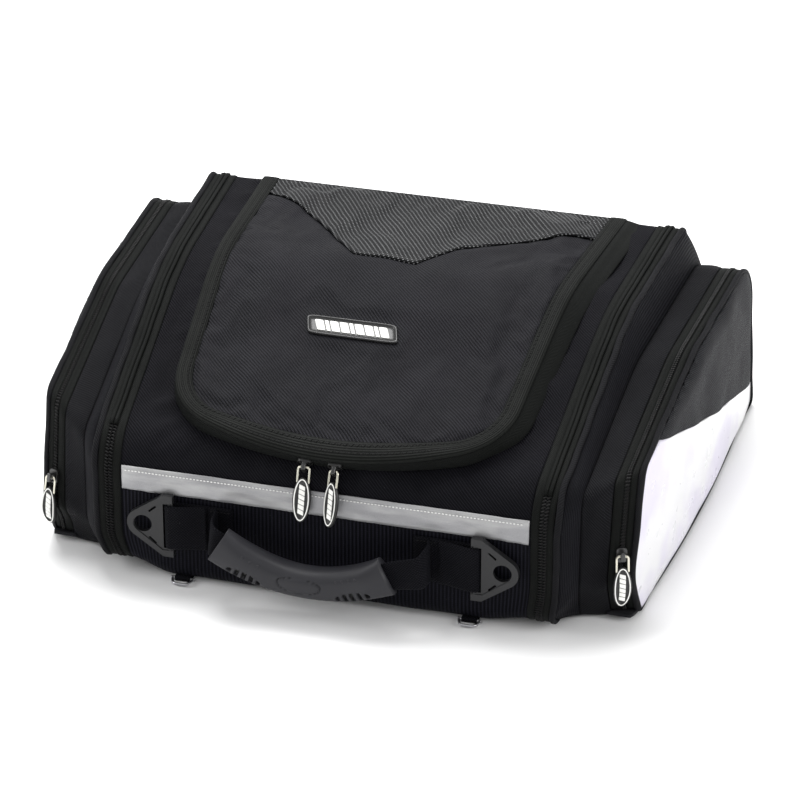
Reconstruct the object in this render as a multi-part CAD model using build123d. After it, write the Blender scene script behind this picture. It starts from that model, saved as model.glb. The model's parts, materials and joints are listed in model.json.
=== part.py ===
from build123d import *
from math import cos, hypot, radians, sin, tan
import os

# Motorcycle tail bag: a padded wedge-shaped main compartment, a raised lid closed by a U-shaped
# zip, two side pockets, an expansion zip round each side and a carrying handle in front.
# Millimetres. +X is right, +Y is towards the back, +Z is up. The origin is on the ground, under
# the middle of the base.

# --- Main compartment -------------------------------------------------------------------------
SIDE_SEAM_X = 167.5        # half width between the side seams at Y = 0
SIDE_SPLAY = 2.75          # degrees by which each side leans outwards towards the back
FRONT_Y = -197.0
REAR_FOOT_Y = 199.0
HEIGHT = 174.5
NOSE_Z = 112.4             # height at which the front would meet the sloping top
NOSE_ARC_Z = 86.5          # height of the centre of the rounding between them
SLOPE_END_Y = -11.5        # where the sloping top would meet the flat top
REAR_TOP_Y = 154.8
MAIN_CORNERS = [(FRONT_Y, 0), (FRONT_Y, NOSE_Z), (SLOPE_END_Y, HEIGHT),
                (REAR_TOP_Y, HEIGHT), (REAR_FOOT_Y, 0)]
MAIN_RADII = [16, 36, 240, 10, 8]
REAR_TOP = 3               # which of those corners is the rear top one
SHELL_T = 3.0              # padded fabric wall
BASE_FRONT_Y = -181.0      # where the base turns up into the front
BASE_REAR_Y = 191.0
STRIP_Z = (76.0, 95.0)     # reflective strip across the front
PANEL_GAP = 0.2            # between two panels that are sewn edge to edge
REAR_SPLIT_Y = 150.2

# --- Lid --------------------------------------------------------------------------------------
LID_HEIGHT = 14.0          # how far the padded lid stands above the main compartment
LID_REAR_SHARE = 0.25      # of that height, what is left over the rear corner
LID_TILT = 40.0            # the lid's outline is cut square to a plane tilted this far back
LID_NOSE_V = -70.0         # front of the U outline, measured up the tilted plane
LID_CORNER_V = -41.0
LID_CORNER_X = 130.0
LID_CORNER_R = 55.0
LID_REAR_X = 150.0
LID_REAR_V = 235.0
LID_HINGE_Y = 148.0
BINDING_W = 12.0
GUSSET_T = 2.0
LID_TAPE_W = 6.0
OPENING_INSET = 14.0
BADGE_SIZE = (72.0, 20.0)
BADGE_XY = (-11.0, -78.0)

# --- Side assembly, measured outwards from the side seam ----------------------------------------
ZIP_IN = (0.2, 9.2)
ZIP_OUT = (9.8, 17.4)
SIDE_PIPING = (17.6, 22.6)
WALL = (17.6, 22.6)
FLARE_END = 33.0
TRAY_END = 52.5
POCKET_ZIP_IN = (52.7, 60.6)
POCKET_ZIP_OUT = (61.2, 67.5)
POCKET_PIPING = (67.7, 72.3)
POCKET_EDGE = 70.0         # where the pocket's end profile is drawn
END_BULGE_X = 79.0         # furthest point of the bowed end panel
END_BULGE_Y = 19.0
END_BULGE_R = 2120.0
FLARE_CORNERS = [(-184, 0.4), (-196.6, 15), (-196.6, 112.2), (-11.5, 174.2), (154.5, 174.2),
                 (198.6, 0.4)]
FLARE_RADII = [8, 8, 35, 230, 10, 8]
ROOT_CORNERS = [(-168, 0), (-181, 36), (-179, 110), (-33, 148.5), (178, 146), (203, 0)]
ROOT_RADII = [6, 25, 14, 150, 50, 8]
END_CORNERS = [(-144, 0), (-168, 42), (-147, 123), (0, 150.5), (175, 147), (203, 0)]
END_RADII = [6, 22, 12, 110, 48, 8]
POCKET_T = 2.5
POCKET_FLOOR_T = 2.5
POCKET_ZIP_FOOT_Z = 6.0    # the pocket zip runs down to this height at each end
WHITE_EDGE = [(-175, 150), (-123, 132), (-5, 91), (195, 23), (225, 13)]

# --- Zip sliders and their pulls ----------------------------------------------------------------
SLIDER_SIZE = (8.0, 11.0, 2.0)
CROWN_SIZE = (3.4, 6.0)
CROWN_HOLE_R = 2.2
CROWN_HOLE_Z = 4.8         # height of the crown's hole above the slider's underside
WIRE_R = 0.9
WIRE_HALF_W = 4.4
WIRE_DROP = 12.0
TAG_SIZE = (14.0, 34.0, 3.0)
LID_SLIDERS = [("left", -15.0, 0.0, 17.0), ("right", 8.0, -32.0, 24.0)]
LID_NOSE_BEND_R = 306.0    # radius of the U outline's nose
SLIDER_LIFT = 1.2          # gap between a slider and the cloth it runs over
LID_SLIDER_LIFT = 1.7
POCKET_SLIDER = (60.9, 62.0)
EXPANSION_SLIDER = (9.5, 40.0)

# --- Handle, rings and webbing --------------------------------------------------------------------
WEBBING_T = 2.2
HANDLE_ANCHOR_X = 79.0
HANDLE_START_Y = -202.6
GRIP_X = -9.0
GRIP_LENGTH = 130.0
GRIP_Y = -222.0
GRIP_END_Z = (54.0, 47.0)  # left and right: the loaded end hangs lower
GRIP_MID_Z = 29.0
GRIP_SECTION = (26.0, 28.0)
STRAP_END_H = 24.0
RING_BAR_X = 117.8
RING_BAR_R = 2.3
RING_BAR_Y = -202.8
RING_Z = 52.0
RING_T = 5.0
RING_WEB_T = 3.6
RING_HALF_H = 26.0
RING_EYE_X = 21.3          # from the bar to the eye
RING_EYE_R = 7.0
RING_RIM = 5.3
RING_SLOT_SPARE = 11.0      # the ring's height beyond its webbing slot
RING_SLIT = (7.6, 9.0, 1.6)
RING_SLIT_X = 13.6
RING_SLIT_Z = 13.4
RING_SLIT_LEAN = 42.0
LOOP_HALF_H = 18.4
ANCHOR_Z = 2.3
ANCHOR_WIRE_R = 1.0
ANCHOR_BAR_R = 1.2
ANCHOR_HALF_W = 8.0
ANCHOR_DEPTH = 8.5
ANCHORS = [("front_left", -112, -194.5, -1), ("front_right", 112, -194.5, -1),
           ("rear_left", -120, 199.8, 1), ("rear_right", 120, 199.8, 1)]


# --- Geometry helpers -----------------------------------------------------------------------------
def grown_corners(corners, amount):
    """The corners of a clockwise or anticlockwise outline moved outwards by amount."""
    count = len(corners)
    area = sum(corners[i - 1][0] * corners[i][1] - corners[i][0] * corners[i - 1][1]
               for i in range(count))
    turn = 1 if area > 0 else -1
    lines = []
    for i in range(count):
        (y0, z0), (y1, z1) = corners[i], corners[(i + 1) % count]
        length = hypot(y1 - y0, z1 - z0)
        ny, nz = turn * (z1 - z0) / length, -turn * (y1 - y0) / length
        lines.append((ny, nz, ny * y0 + nz * z0 + amount))
    moved = []
    for i in range(count):
        a1, b1, c1 = lines[i - 1]
        a2, b2, c2 = lines[i]
        det = a1 * b2 - a2 * b1
        moved.append(((c1 * b2 - c2 * b1) / det, (a1 * c2 - a2 * c1) / det))
    return moved


def outline(corners, radii, grow=0.0):
    """A face in the YZ plane with rounded corners, grown outwards by grow."""
    points = grown_corners(corners, grow)
    rounded = [max(radius + grow, 0.4) for radius in radii]
    return Plane.YZ * make_face(FilletPolyline(*points, radius=rounded, close=True))


def main_profile(grow=0.0):
    return outline(MAIN_CORNERS, MAIN_RADII, grow)


def pocket_profile(x, grow=0.0):
    """The pocket's outline at x, between its root and its end."""
    share = (x - FLARE_END) / (POCKET_EDGE - FLARE_END)
    corners = [(a[0] + share * (b[0] - a[0]), a[1] + share * (b[1] - a[1]))
               for a, b in zip(ROOT_CORNERS, END_CORNERS)]
    radii = [a + share * (b - a) for a, b in zip(ROOT_RADII, END_RADII)]
    return outline(corners, radii, grow)


def prism(face, x0, x1):
    return extrude(Pos(x0, 0, 0) * face, amount=x1 - x0)


def band(outer, inner, x0, x1):
    """A ring along X between two outlines in the YZ plane."""
    return prism(outer, x0, x1) - prism(inner, x0 - 1, x1 + 1)


def pocket_band(x0, x1, outer=0.0, thickness=POCKET_T):
    """A ring that follows the pocket's changing outline."""
    outside = loft([Pos(x, 0, 0) * pocket_profile(x, outer) for x in (x0, x1)], ruled=True)
    inner = outer - thickness
    inside = loft([Pos(x, 0, 0) * pocket_profile(x, inner) for x in (x0 - 0.5, x1 + 0.5)],
                  ruled=True)
    return outside - inside


def block(x0, x1, y0, y1, z0, z1):
    return Pos((x0 + x1) / 2, (y0 + y1) / 2, (z0 + z1) / 2) * Box(x1 - x0, y1 - y0, z1 - z0)


def above_ground():
    return block(-20, 120, -300, 300, 0, 300)


def between_sides(half_width, z0=-20, z1=260):
    """A tall prism whose two sides splay outwards towards the back."""
    y0, y1 = FRONT_Y - 30, REAR_FOOT_Y + 30
    grow = tan(radians(SIDE_SPLAY))
    points = [(-half_width - grow * y0, y0), (half_width + grow * y0, y0),
              (half_width + grow * y1, y1), (-half_width - grow * y1, y1)]
    face = make_face(Polyline(*points, close=True))
    return Pos(0, 0, z0) * extrude(face, amount=z1 - z0)


def to_side(part, side):
    """Takes a part from the side frame to the right or left side of the bag."""
    placed = Pos(SIDE_SEAM_X, 0, 0) * Rot(0, 0, -SIDE_SPLAY) * part
    return placed if side > 0 else mirror(placed, about=Plane.YZ)


def largest(part):
    """The biggest solid, without the crumbs that a cut can leave."""
    solids = sorted(part.solids(), key=lambda solid: solid.volume)
    return solids[-1]


def save(name, part):
    solids = part.solids()
    shape = solids[0] if len(solids) == 1 else Compound(children=solids)
    shape.label = name
    export_step(shape, f"parts/{name}.step")
    box = shape.bounding_box()
    print(f"{name:28s} {len(solids)} solids  x {box.min.X:7.1f} {box.max.X:7.1f}"
          f"  y {box.min.Y:7.1f} {box.max.Y:7.1f}  z {box.min.Z:7.1f} {box.max.Z:7.1f}")


# --- Lid geometry ---------------------------------------------------------------------------------
LID_PLANE = Plane(origin=(0, 0, 0), x_dir=(1, 0, 0),
                  z_dir=(0, -sin(radians(LID_TILT)), cos(radians(LID_TILT))))


def lid_prism(inset=0.0):
    """A prism square to the tilted plane, with the lid's U outline inset by inset."""
    corner_x, corner_v = LID_CORNER_X - inset, LID_CORNER_V + inset
    nose = ThreePointArc((-corner_x, corner_v), (0, LID_NOSE_V + inset), (corner_x, corner_v))
    side = Polyline((corner_x, corner_v), (LID_REAR_X - inset, LID_REAR_V),
                    (-LID_REAR_X + inset, LID_REAR_V), (-corner_x, corner_v))
    face = make_face([nose, side])
    fronts = [v for v in face.vertices() if abs(v.Y - corner_v) < 0.01]
    face = fillet(fronts, LID_CORNER_R - inset)
    return extrude(LID_PLANE * face, amount=260)


def lid_profile(lift):
    """The main outline lifted as the lid is: in full in front, tapering towards the rear."""
    corners = grown_corners(MAIN_CORNERS, lift)
    y, z = corners[REAR_TOP]
    corners[REAR_TOP] = (y, z - (1 - LID_REAR_SHARE) * lift)
    rounded = [radius + lift for radius in MAIN_RADII]
    return Plane.YZ * make_face(FilletPolyline(*corners, radius=rounded, close=True))


def lid_layer(low, high, inset, inner=None):
    """A layer of the lid between two heights above the main compartment's surface."""
    layer = prism(lid_profile(high), -180, 180) - prism(lid_profile(low), -181, 181)
    layer = layer & lid_prism(inset) & block(-200, 200, -230, 200, 60, 260)
    if inner is not None:
        layer = layer - lid_prism(inner)
    return layer - block(-200, 200, LID_HINGE_Y - 2, 300, -50, 300)


def carbon_prism(grow=0.0):
    """The rear part of the lid's top, whose front edge sweeps forwards to a blunt point."""
    left_end, tip_left = (-160, 135 - grow), (-34, 3 - grow)
    tip_right, right_end = (16, 3 - grow), (160, 108 - grow)
    left = ThreePointArc(left_end, (-88, 78 - grow), tip_left)
    right = ThreePointArc(tip_right, (76, 68 - grow), right_end)
    back = Polyline(right_end, (160, 200), (-160, 200), left_end)
    tip = Line(tip_left, tip_right)
    return Pos(0, 0, 100) * extrude(make_face([left, tip, right, back]), amount=150)


def make_lid():
    save("lid_gusset", lid_layer(0.6, 12.0, 0, GUSSET_T))
    save("lid_binding", lid_layer(12.2, LID_HEIGHT, 0, BINDING_W))
    skin = lid_layer(12.0, 13.6, BINDING_W + PANEL_GAP)
    save("lid_panel", skin - carbon_prism(PANEL_GAP))
    save("lid_carbon_panel", skin & carbon_prism())
    save("lid_foam", lid_layer(4.4, 11.8, GUSSET_T + PANEL_GAP))
    x, y = BADGE_XY
    width, depth = BADGE_SIZE
    badge = prism(main_profile(15.4), -180, 180) - prism(main_profile(13.8), -181, 181)
    plan = extrude(RectangleRounded(width, depth, 3), amount=300)
    save("lid_badge", badge & (Pos(x, y, 50) * plan))


def make_body():
    shell = prism(main_profile(), -220, 220) - prism(main_profile(-SHELL_T), -221, 221)
    shell = shell & between_sides(SIDE_SEAM_X)
    base = block(-230, 230, BASE_FRONT_Y, BASE_REAR_Y, -5, SHELL_T + 0.1)
    save("base_panel", shell & base)
    save("front_band", shell & block(-230, 230, -210, BASE_FRONT_Y - PANEL_GAP, -5,
                                     STRIP_Z[0] - PANEL_GAP))
    upper = shell & block(-230, 230, -210, REAR_SPLIT_Y - PANEL_GAP, STRIP_Z[0], 260)
    cut = lid_prism(OPENING_INSET) & block(-200, 200, -230, 130, 60, 260)
    save("main_shell", upper - cut)
    rear = shell & block(-230, 230, REAR_SPLIT_Y, 230, -5, 260)
    save("rear_panel", rear - block(-230, 230, 0, BASE_REAR_Y + PANEL_GAP, -5, SHELL_T + 0.4))
    strip = prism(main_profile(1.2), -220, 220) - prism(main_profile(0.2), -221, 221)
    strip = strip & between_sides(SIDE_SEAM_X - 1) & block(-230, 230, -210, -150, *STRIP_Z)
    save("reflective_strip", strip)
    tape = prism(main_profile(0), -180, 180) - prism(main_profile(-2.0), -181, 181)
    outer = lid_prism(OPENING_INSET + PANEL_GAP)
    inner = lid_prism(OPENING_INSET + LID_TAPE_W)
    tape = (tape & outer & block(-200, 200, -230, 129.8, 60, 260)) - inner
    save("lid_zip_lower", tape)
    board = between_sides(SIDE_SEAM_X - 8, SHELL_T + 0.4, SHELL_T + 3.4)
    save("base_board", board & block(-230, 230, -178, 184, 0, 20))
    back = prism(main_profile(-SHELL_T - 0.3), -220, 220)
    back = back - prism(main_profile(-SHELL_T - 3.3), -221, 221)
    back = back & between_sides(SIDE_SEAM_X - 12) & block(-230, 230, 158, 230, 12, 150)
    save("rear_board", back)


def make_side(name, side):
    """One side: expansion zip, its hidden gusset, the end wall and the pocket's fixed part."""
    coil = band(main_profile(0.9), main_profile(-1), ZIP_IN[1] - 1.6, ZIP_IN[1])
    zip_in = (band(main_profile(), main_profile(-2), *ZIP_IN) + coil) & above_ground()
    save(f"expansion_zip_inner_{name}", to_side(zip_in, side))
    coil = band(main_profile(0.9), main_profile(-1), ZIP_OUT[0], ZIP_OUT[0] + 1.6)
    zip_out = (band(main_profile(), main_profile(-2), *ZIP_OUT) + coil) & above_ground()
    save(f"expansion_zip_outer_{name}", to_side(zip_out, side))
    gusset = band(main_profile(-2.4), main_profile(-4.6), 0.6, ZIP_OUT[1] - 0.2)
    save(f"expansion_gusset_{name}", to_side(gusset, side))
    piping = band(main_profile(1.6), main_profile(-2.2), *SIDE_PIPING) & above_ground()
    save(f"side_piping_{name}", to_side(piping, side))

    wall = prism(main_profile(-2.4), *WALL)
    flare_out = [Pos(WALL[1], 0, 0) * outline(FLARE_CORNERS, FLARE_RADII),
                 Pos(FLARE_END, 0, 0) * pocket_profile(FLARE_END)]
    flare_in = [Pos(WALL[1], 0, 0) * outline(FLARE_CORNERS, FLARE_RADII, -3.6),
                Pos(FLARE_END, 0, 0) * pocket_profile(FLARE_END, -3.6)]
    flare = loft(flare_out, ruled=True) - loft(flare_in, ruled=True)
    save(f"side_wall_{name}", to_side(wall + flare, side))

    tray = pocket_band(FLARE_END + 0.2, TRAY_END)
    end_arc = Pos(END_BULGE_X - END_BULGE_R, END_BULGE_Y, -20) * \
        extrude(Circle(END_BULGE_R - 2), amount=60)
    floor = prism(pocket_profile(POCKET_EDGE, -1.0), TRAY_END - 4, 90) & end_arc
    floor = floor & block(0, 120, -300, 300, -1, POCKET_FLOOR_T)
    save(f"pocket_tray_{name}", to_side(largest(tray + floor), side))

    above_foot = block(0, 120, -300, 300, POCKET_ZIP_FOOT_Z, 300)
    zip_in = pocket_band(*POCKET_ZIP_IN, thickness=2.0) & above_foot
    save(f"pocket_zip_inner_{name}", to_side(zip_in, side))


def make_pocket_cover(name, side):
    """The pocket's end, which folds outwards about its bottom edge."""
    above_foot = block(0, 120, -300, 300, POCKET_ZIP_FOOT_Z, 300)
    above_floor = block(0, 120, -300, 300, POCKET_FLOOR_T + 0.4, 300)
    zip_out = pocket_band(*POCKET_ZIP_OUT, thickness=2.0) & above_foot
    save(f"pocket_zip_outer_{name}", to_side(zip_out, side))
    piping = band(pocket_profile(POCKET_EDGE, 1.4), pocket_profile(POCKET_EDGE, -2.0),
                  *POCKET_PIPING)
    save(f"pocket_piping_{name}", to_side(piping & above_floor, side))
    centre = Pos(END_BULGE_X - END_BULGE_R, END_BULGE_Y, -20)
    bow = centre * extrude(Circle(END_BULGE_R), amount=300)
    bow = bow - centre * extrude(Circle(END_BULGE_R - 3), amount=300)
    panel = prism(pocket_profile(POCKET_EDGE, -2.2), 60, 90) & bow & above_floor
    edge = Polyline(*WHITE_EDGE, (225, -50), (-175, -50), close=True)
    white = Plane.YZ * make_face(edge)
    white_prism = prism(white, 50, 100)
    save(f"pocket_white_panel_{name}", to_side(largest(panel & white_prism), side))
    black = panel - Pos(0, 0, PANEL_GAP) * white_prism
    save(f"pocket_cover_{name}", to_side(largest(black), side))


# --- Zip sliders and pulls ------------------------------------------------------------------------
def slider(width, length):
    """A zip slider lying in the XY plane, its crown standing on +Z with a hole along X."""
    thickness = SLIDER_SIZE[2]
    plate = extrude(RectangleRounded(width, length, 2.5), amount=thickness)
    crown_x, crown_z = CROWN_SIZE
    crown = extrude(RectangleRounded(crown_x, min(length, width) - 1, 1), amount=crown_z)
    crown = fillet((Pos(0, 0, thickness) * crown).edges().group_by(Axis.Z)[-1], 0.9)
    hole = Pos(0, 0, CROWN_HOLE_Z) * Rot(0, 90, 0) * Cylinder(CROWN_HOLE_R, 12)
    return plate + crown - hole


def pull_wire():
    """A wire bail: its top bar lies along X through the origin, its legs drop to the tag."""
    path = FilletPolyline((-WIRE_HALF_W, 0, -WIRE_DROP), (-WIRE_HALF_W, 0, 0),
                          (WIRE_HALF_W, 0, 0), (WIRE_HALF_W, 0, -WIRE_DROP), radius=2.2)
    start = Plane(origin=path @ 0, z_dir=path % 0)
    return sweep(start * Circle(WIRE_R), path=path)


def pull_tag():
    """An oval rubber tag hanging from the wire, with a raised rim and a blank raised bar."""
    width, length, thickness = TAG_SIZE
    half = thickness / 2
    lie = Pos(0, 0, 4.0 - WIRE_DROP - length / 2) * Rot(90, 0, 0)
    core = lie * extrude(Ellipse(width / 2, length / 2), amount=half - 0.4, both=True)
    rim = Ellipse(width / 2 - 0.8, length / 2 - 0.8) - Ellipse(width / 2 - 2, length / 2 - 2)
    rim = lie * extrude(rim, amount=half, both=True)
    bar = lie * extrude(RectangleRounded(4.0, length - 12, 1), amount=half, both=True)
    neck = Pos(0, 0, 2.4 - WIRE_DROP) * Box(2 * WIRE_HALF_W + 3.4, thickness, 7)
    neck = fillet(neck.edges().filter_by(Axis.Y), 1.6)
    return core + rim + bar + neck - pull_wire()


def nose_height(v):
    """Height of the main compartment's nose above the tilted plane, v up that plane."""
    nose_y, nose_z = FRONT_Y + MAIN_RADII[1], NOSE_ARC_Z
    tilt = radians(LID_TILT)
    v0 = nose_y * cos(tilt) + nose_z * sin(tilt)
    w0 = -nose_y * sin(tilt) + nose_z * cos(tilt)
    return w0 + (MAIN_RADII[1] ** 2 - (v - v0) ** 2) ** 0.5


def make_lid_sliders():
    """Two sliders that meet in the middle of the lid's front, each with a hanging pull."""
    width, length, _ = SLIDER_SIZE
    for name, x, twist, lean in LID_SLIDERS:
        v = LID_NOSE_V + x * x / (2 * LID_NOSE_BEND_R) - LID_SLIDER_LIFT
        body = LID_PLANE * Pos(x, v, nose_height(LID_NOSE_V) + 6.6) * Rot(90, 0, 0)
        save(f"lid_slider_{name}", body * slider(length, width))
        eye = (body * Pos(0, 0, CROWN_HOLE_Z)).position
        hang = Pos(eye) * Rot(-lean, 0, 0) * Rot(0, 0, twist)
        save(f"lid_pull_wire_{name}", hang * pull_wire())
        save(f"lid_pull_tag_{name}", hang * pull_tag())


def pocket_front_place(x, z):
    """A place on the pocket's sloping front: X across it, Y up it and Z out of it."""
    rows = []
    for at in (x, x + 1):
        share = (at - FLARE_END) / (POCKET_EDGE - FLARE_END)
        low, high = [(a[0] + share * (b[0] - a[0]), a[1] + share * (b[1] - a[1]))
                     for a, b in zip(ROOT_CORNERS[1:3], END_CORNERS[1:3])]
        rise = (high[0] - low[0]) / (high[1] - low[1])
        rows.append((low[0] + (z - low[1]) * rise, rise))
    (y, rise), (next_y, _) = rows
    across, up = Vector(1, next_y - y, 0), Vector(0, rise, 1)
    return Plane(origin=(x, y, z), x_dir=across, z_dir=across.cross(up)).location


def make_side_sliders(name, side):
    """The pocket's slider with its pull, and the expansion zip's slider."""
    place = pocket_front_place(*POCKET_SLIDER) * Pos(0, 0, SLIDER_LIFT)
    save(f"pocket_slider_{name}", to_side(place * slider(*SLIDER_SIZE[:2]), side))
    hang = place * Pos(0, 0, CROWN_HOLE_Z) * Rot(-90, 0, 0)
    save(f"pocket_pull_wire_{name}", to_side(hang * pull_wire(), side))
    save(f"pocket_pull_tag_{name}", to_side(hang * pull_tag(), side))

    x, z = EXPANSION_SLIDER
    share = z / HEIGHT
    y = REAR_FOOT_Y + share * (REAR_TOP_Y - REAR_FOOT_Y)
    length = hypot(REAR_FOOT_Y - REAR_TOP_Y, HEIGHT)
    normal = (0, HEIGHT / length, (REAR_FOOT_Y - REAR_TOP_Y) / length)
    place = Plane(origin=(x, y, z), x_dir=(1, 0, 0), z_dir=normal).location
    body = place * Pos(0, 0, SLIDER_LIFT) * slider(*SLIDER_SIZE[:2])
    save(f"expansion_slider_{name}", to_side(body, side))


# --- Handle, rings and anchors --------------------------------------------------------------------
def strap_end(sign, grip_end_x, grip_end_z):
    """The webbing from its anchor on the front out to one end of the grip."""
    anchor_x = sign * (HANDLE_ANCHOR_X + 3)
    plan = FilletPolyline((anchor_x, HANDLE_START_Y), (anchor_x, GRIP_Y),
                          (grip_end_x - sign * 6, GRIP_Y), radius=4)
    low = grip_end_z - STRAP_END_H / 2
    return Pos(0, 0, low) * extrude(trace(plan, WEBBING_T), amount=STRAP_END_H)


def make_handle():
    """A sagging rubber grip on a webbing strip whose ends bend back to the front."""
    half = GRIP_LENGTH / 2
    left_x, right_x = GRIP_X - half, GRIP_X + half
    left_z, right_z = GRIP_END_Z
    path = ThreePointArc((left_x, GRIP_Y, left_z), (GRIP_X, GRIP_Y, GRIP_MID_Z),
                         (right_x, GRIP_Y, right_z))
    start = Plane(origin=path @ 0, x_dir=(0, 1, 0), z_dir=path % 0)
    grip = sweep(start * Ellipse(GRIP_SECTION[0] / 2, GRIP_SECTION[1] / 2), path=path)
    webbing = sweep(start * Rectangle(WEBBING_T, STRAP_END_H - 6), path=path)
    webbing = webbing + strap_end(-1, left_x, left_z) + strap_end(1, right_x, right_z)
    save("handle_webbing", webbing)
    save("handle_grip", grip - webbing)


def ring():
    """A three-cornered ring: round bar on the Z axis at X = 0, rounded tip and eye on +X."""
    tip_r = RING_EYE_R + RING_RIM
    rectangle = Pos(1.5, 0) * Rectangle(8, 2 * RING_HALF_H)
    outer = make_hull((rectangle + Pos(RING_EYE_X, 0) * Circle(tip_r)).edges())
    inner = make_hull((Pos(2.0, 0) * Rectangle(8, 2 * RING_HALF_H - RING_SLOT_SPARE)
                       + Pos(RING_EYE_X, 0) * Circle(RING_EYE_R + 0.5)).edges())
    stand = Rot(90, 0, 0)
    rim = stand * extrude(outer - inner, amount=RING_T / 2, both=True)
    web = stand * extrude(outer, amount=RING_WEB_T / 2, both=True)
    eye = stand * extrude(Pos(RING_EYE_X, 0) * Circle(RING_EYE_R), amount=RING_T, both=True)
    window = block(-10, 5.2, -9, 9, -LOOP_HALF_H - 0.5, LOOP_HALF_H + 0.5)
    body = rim + web - eye - window
    for sign in (-1, 1):
        slit = (Pos(RING_SLIT_X, 0, sign * RING_SLIT_Z) * Rot(0, sign * RING_SLIT_LEAN, 0)
                * Box(*RING_SLIT))
        body = body - slit
    return body + Cylinder(RING_BAR_R, 2 * LOOP_HALF_H + 4)


def make_rings():
    """Shoulder-strap rings, each held flat to the front by the folded end of a webbing strip."""
    strips = []
    for name, side in (("left", -1), ("right", 1)):
        placed = Pos(RING_BAR_X, RING_BAR_Y, RING_Z) * ring()
        strip = block(HANDLE_ANCHOR_X, RING_BAR_X - 1, FRONT_Y - 0.2 - WEBBING_T, FRONT_Y - 0.2,
                      RING_Z - LOOP_HALF_H, RING_Z + LOOP_HALF_H)
        loop = Pos(RING_BAR_X, RING_BAR_Y, RING_Z)
        loop = loop * (Cylinder(RING_BAR_R + 2.0, 2 * LOOP_HALF_H)
                       - Cylinder(RING_BAR_R + 0.35, 2 * LOOP_HALF_H + 2))
        flap = block(HANDLE_ANCHOR_X + 16, RING_BAR_X - 2.6, RING_BAR_Y - 3.6, RING_BAR_Y - 2.6,
                     RING_Z - LOOP_HALF_H, RING_Z + LOOP_HALF_H)
        wedge = block(HANDLE_ANCHOR_X + 16, RING_BAR_X - 3.2, RING_BAR_Y - 3.0, FRONT_Y - 1,
                      RING_Z - LOOP_HALF_H, RING_Z + LOOP_HALF_H)
        strips.append(strip + loop + flap + wedge)
        if side < 0:
            placed = mirror(placed, about=Plane.YZ)
            strips[-1] = mirror(strips[-1], about=Plane.YZ)
        save(f"strap_ring_{name}", placed)
    save("front_webbing", Compound(children=[solid for strip in strips for solid in strip.solids()]))


def make_anchors():
    """Four webbing tabs in the base seam, each with a small wire ring for a mounting strap."""
    tabs = []
    body = prism(main_profile(), -200, 200)
    for name, x, y, outward in ANCHORS:
        tab = block(x - 6, x + 6, *sorted((y, y - outward * 9)), ANCHOR_Z - 0.8, ANCHOR_Z + 0.8)
        lie = Pos(x, y, ANCHOR_Z) * Rot(0, 90, 0)
        tab = tab + lie * Cylinder(ANCHOR_BAR_R + 1.0, 12)
        tab = tab - body - lie * Cylinder(ANCHOR_BAR_R + 0.2, 20)
        tabs.append(largest(tab))
        w, d = ANCHOR_HALF_W, outward * ANCHOR_DEPTH
        path = FilletPolyline((x - w, y, ANCHOR_Z), (x - w + 2, y + d, ANCHOR_Z),
                              (x + w - 2, y + d, ANCHOR_Z), (x + w, y, ANCHOR_Z), radius=4.5)
        bow = sweep(Plane(origin=path @ 0, z_dir=path % 0) * Circle(ANCHOR_WIRE_R), path=path)
        bar = Pos(x, y, ANCHOR_Z) * Rot(0, 90, 0) * Cylinder(ANCHOR_BAR_R, 2 * w + 2.2)
        save(f"anchor_ring_{name}", bow + bar)
    save("anchor_tabs", Compound(children=tabs))


if __name__ == "__main__":
    os.makedirs("parts", exist_ok=True)
    make_body()
    make_lid()
    for side_name, side_sign in (("left", -1), ("right", 1)):
        make_side(side_name, side_sign)
        make_pocket_cover(side_name, side_sign)
        make_side_sliders(side_name, side_sign)
    make_lid_sliders()
    make_handle()
    make_rings()
    make_anchors()
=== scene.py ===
import json
import math

import bpy
import numpy as np
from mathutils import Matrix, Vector


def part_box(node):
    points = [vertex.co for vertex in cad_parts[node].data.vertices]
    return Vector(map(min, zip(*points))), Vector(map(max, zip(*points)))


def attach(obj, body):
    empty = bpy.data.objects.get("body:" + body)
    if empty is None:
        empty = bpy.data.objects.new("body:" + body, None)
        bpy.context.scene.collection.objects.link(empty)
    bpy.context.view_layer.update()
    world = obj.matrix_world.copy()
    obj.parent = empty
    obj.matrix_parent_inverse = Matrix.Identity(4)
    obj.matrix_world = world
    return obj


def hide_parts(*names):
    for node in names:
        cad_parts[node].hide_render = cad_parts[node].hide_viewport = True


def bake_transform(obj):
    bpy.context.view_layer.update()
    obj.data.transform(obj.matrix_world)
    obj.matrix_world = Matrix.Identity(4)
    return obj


# The looks of a motorcycle tail bag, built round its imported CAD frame. Metres; +X right, +Y back,
# +Z up. Lengths below are written in millimetres and multiplied by MM.
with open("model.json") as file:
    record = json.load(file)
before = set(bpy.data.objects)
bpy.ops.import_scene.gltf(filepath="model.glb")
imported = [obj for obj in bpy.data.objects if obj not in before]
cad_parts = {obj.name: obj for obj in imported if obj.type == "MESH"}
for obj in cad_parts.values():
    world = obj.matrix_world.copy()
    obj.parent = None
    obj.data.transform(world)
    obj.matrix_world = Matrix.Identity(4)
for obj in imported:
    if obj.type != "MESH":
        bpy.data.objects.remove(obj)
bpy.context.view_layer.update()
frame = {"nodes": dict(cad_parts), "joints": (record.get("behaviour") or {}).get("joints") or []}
MM = 0.001

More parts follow.
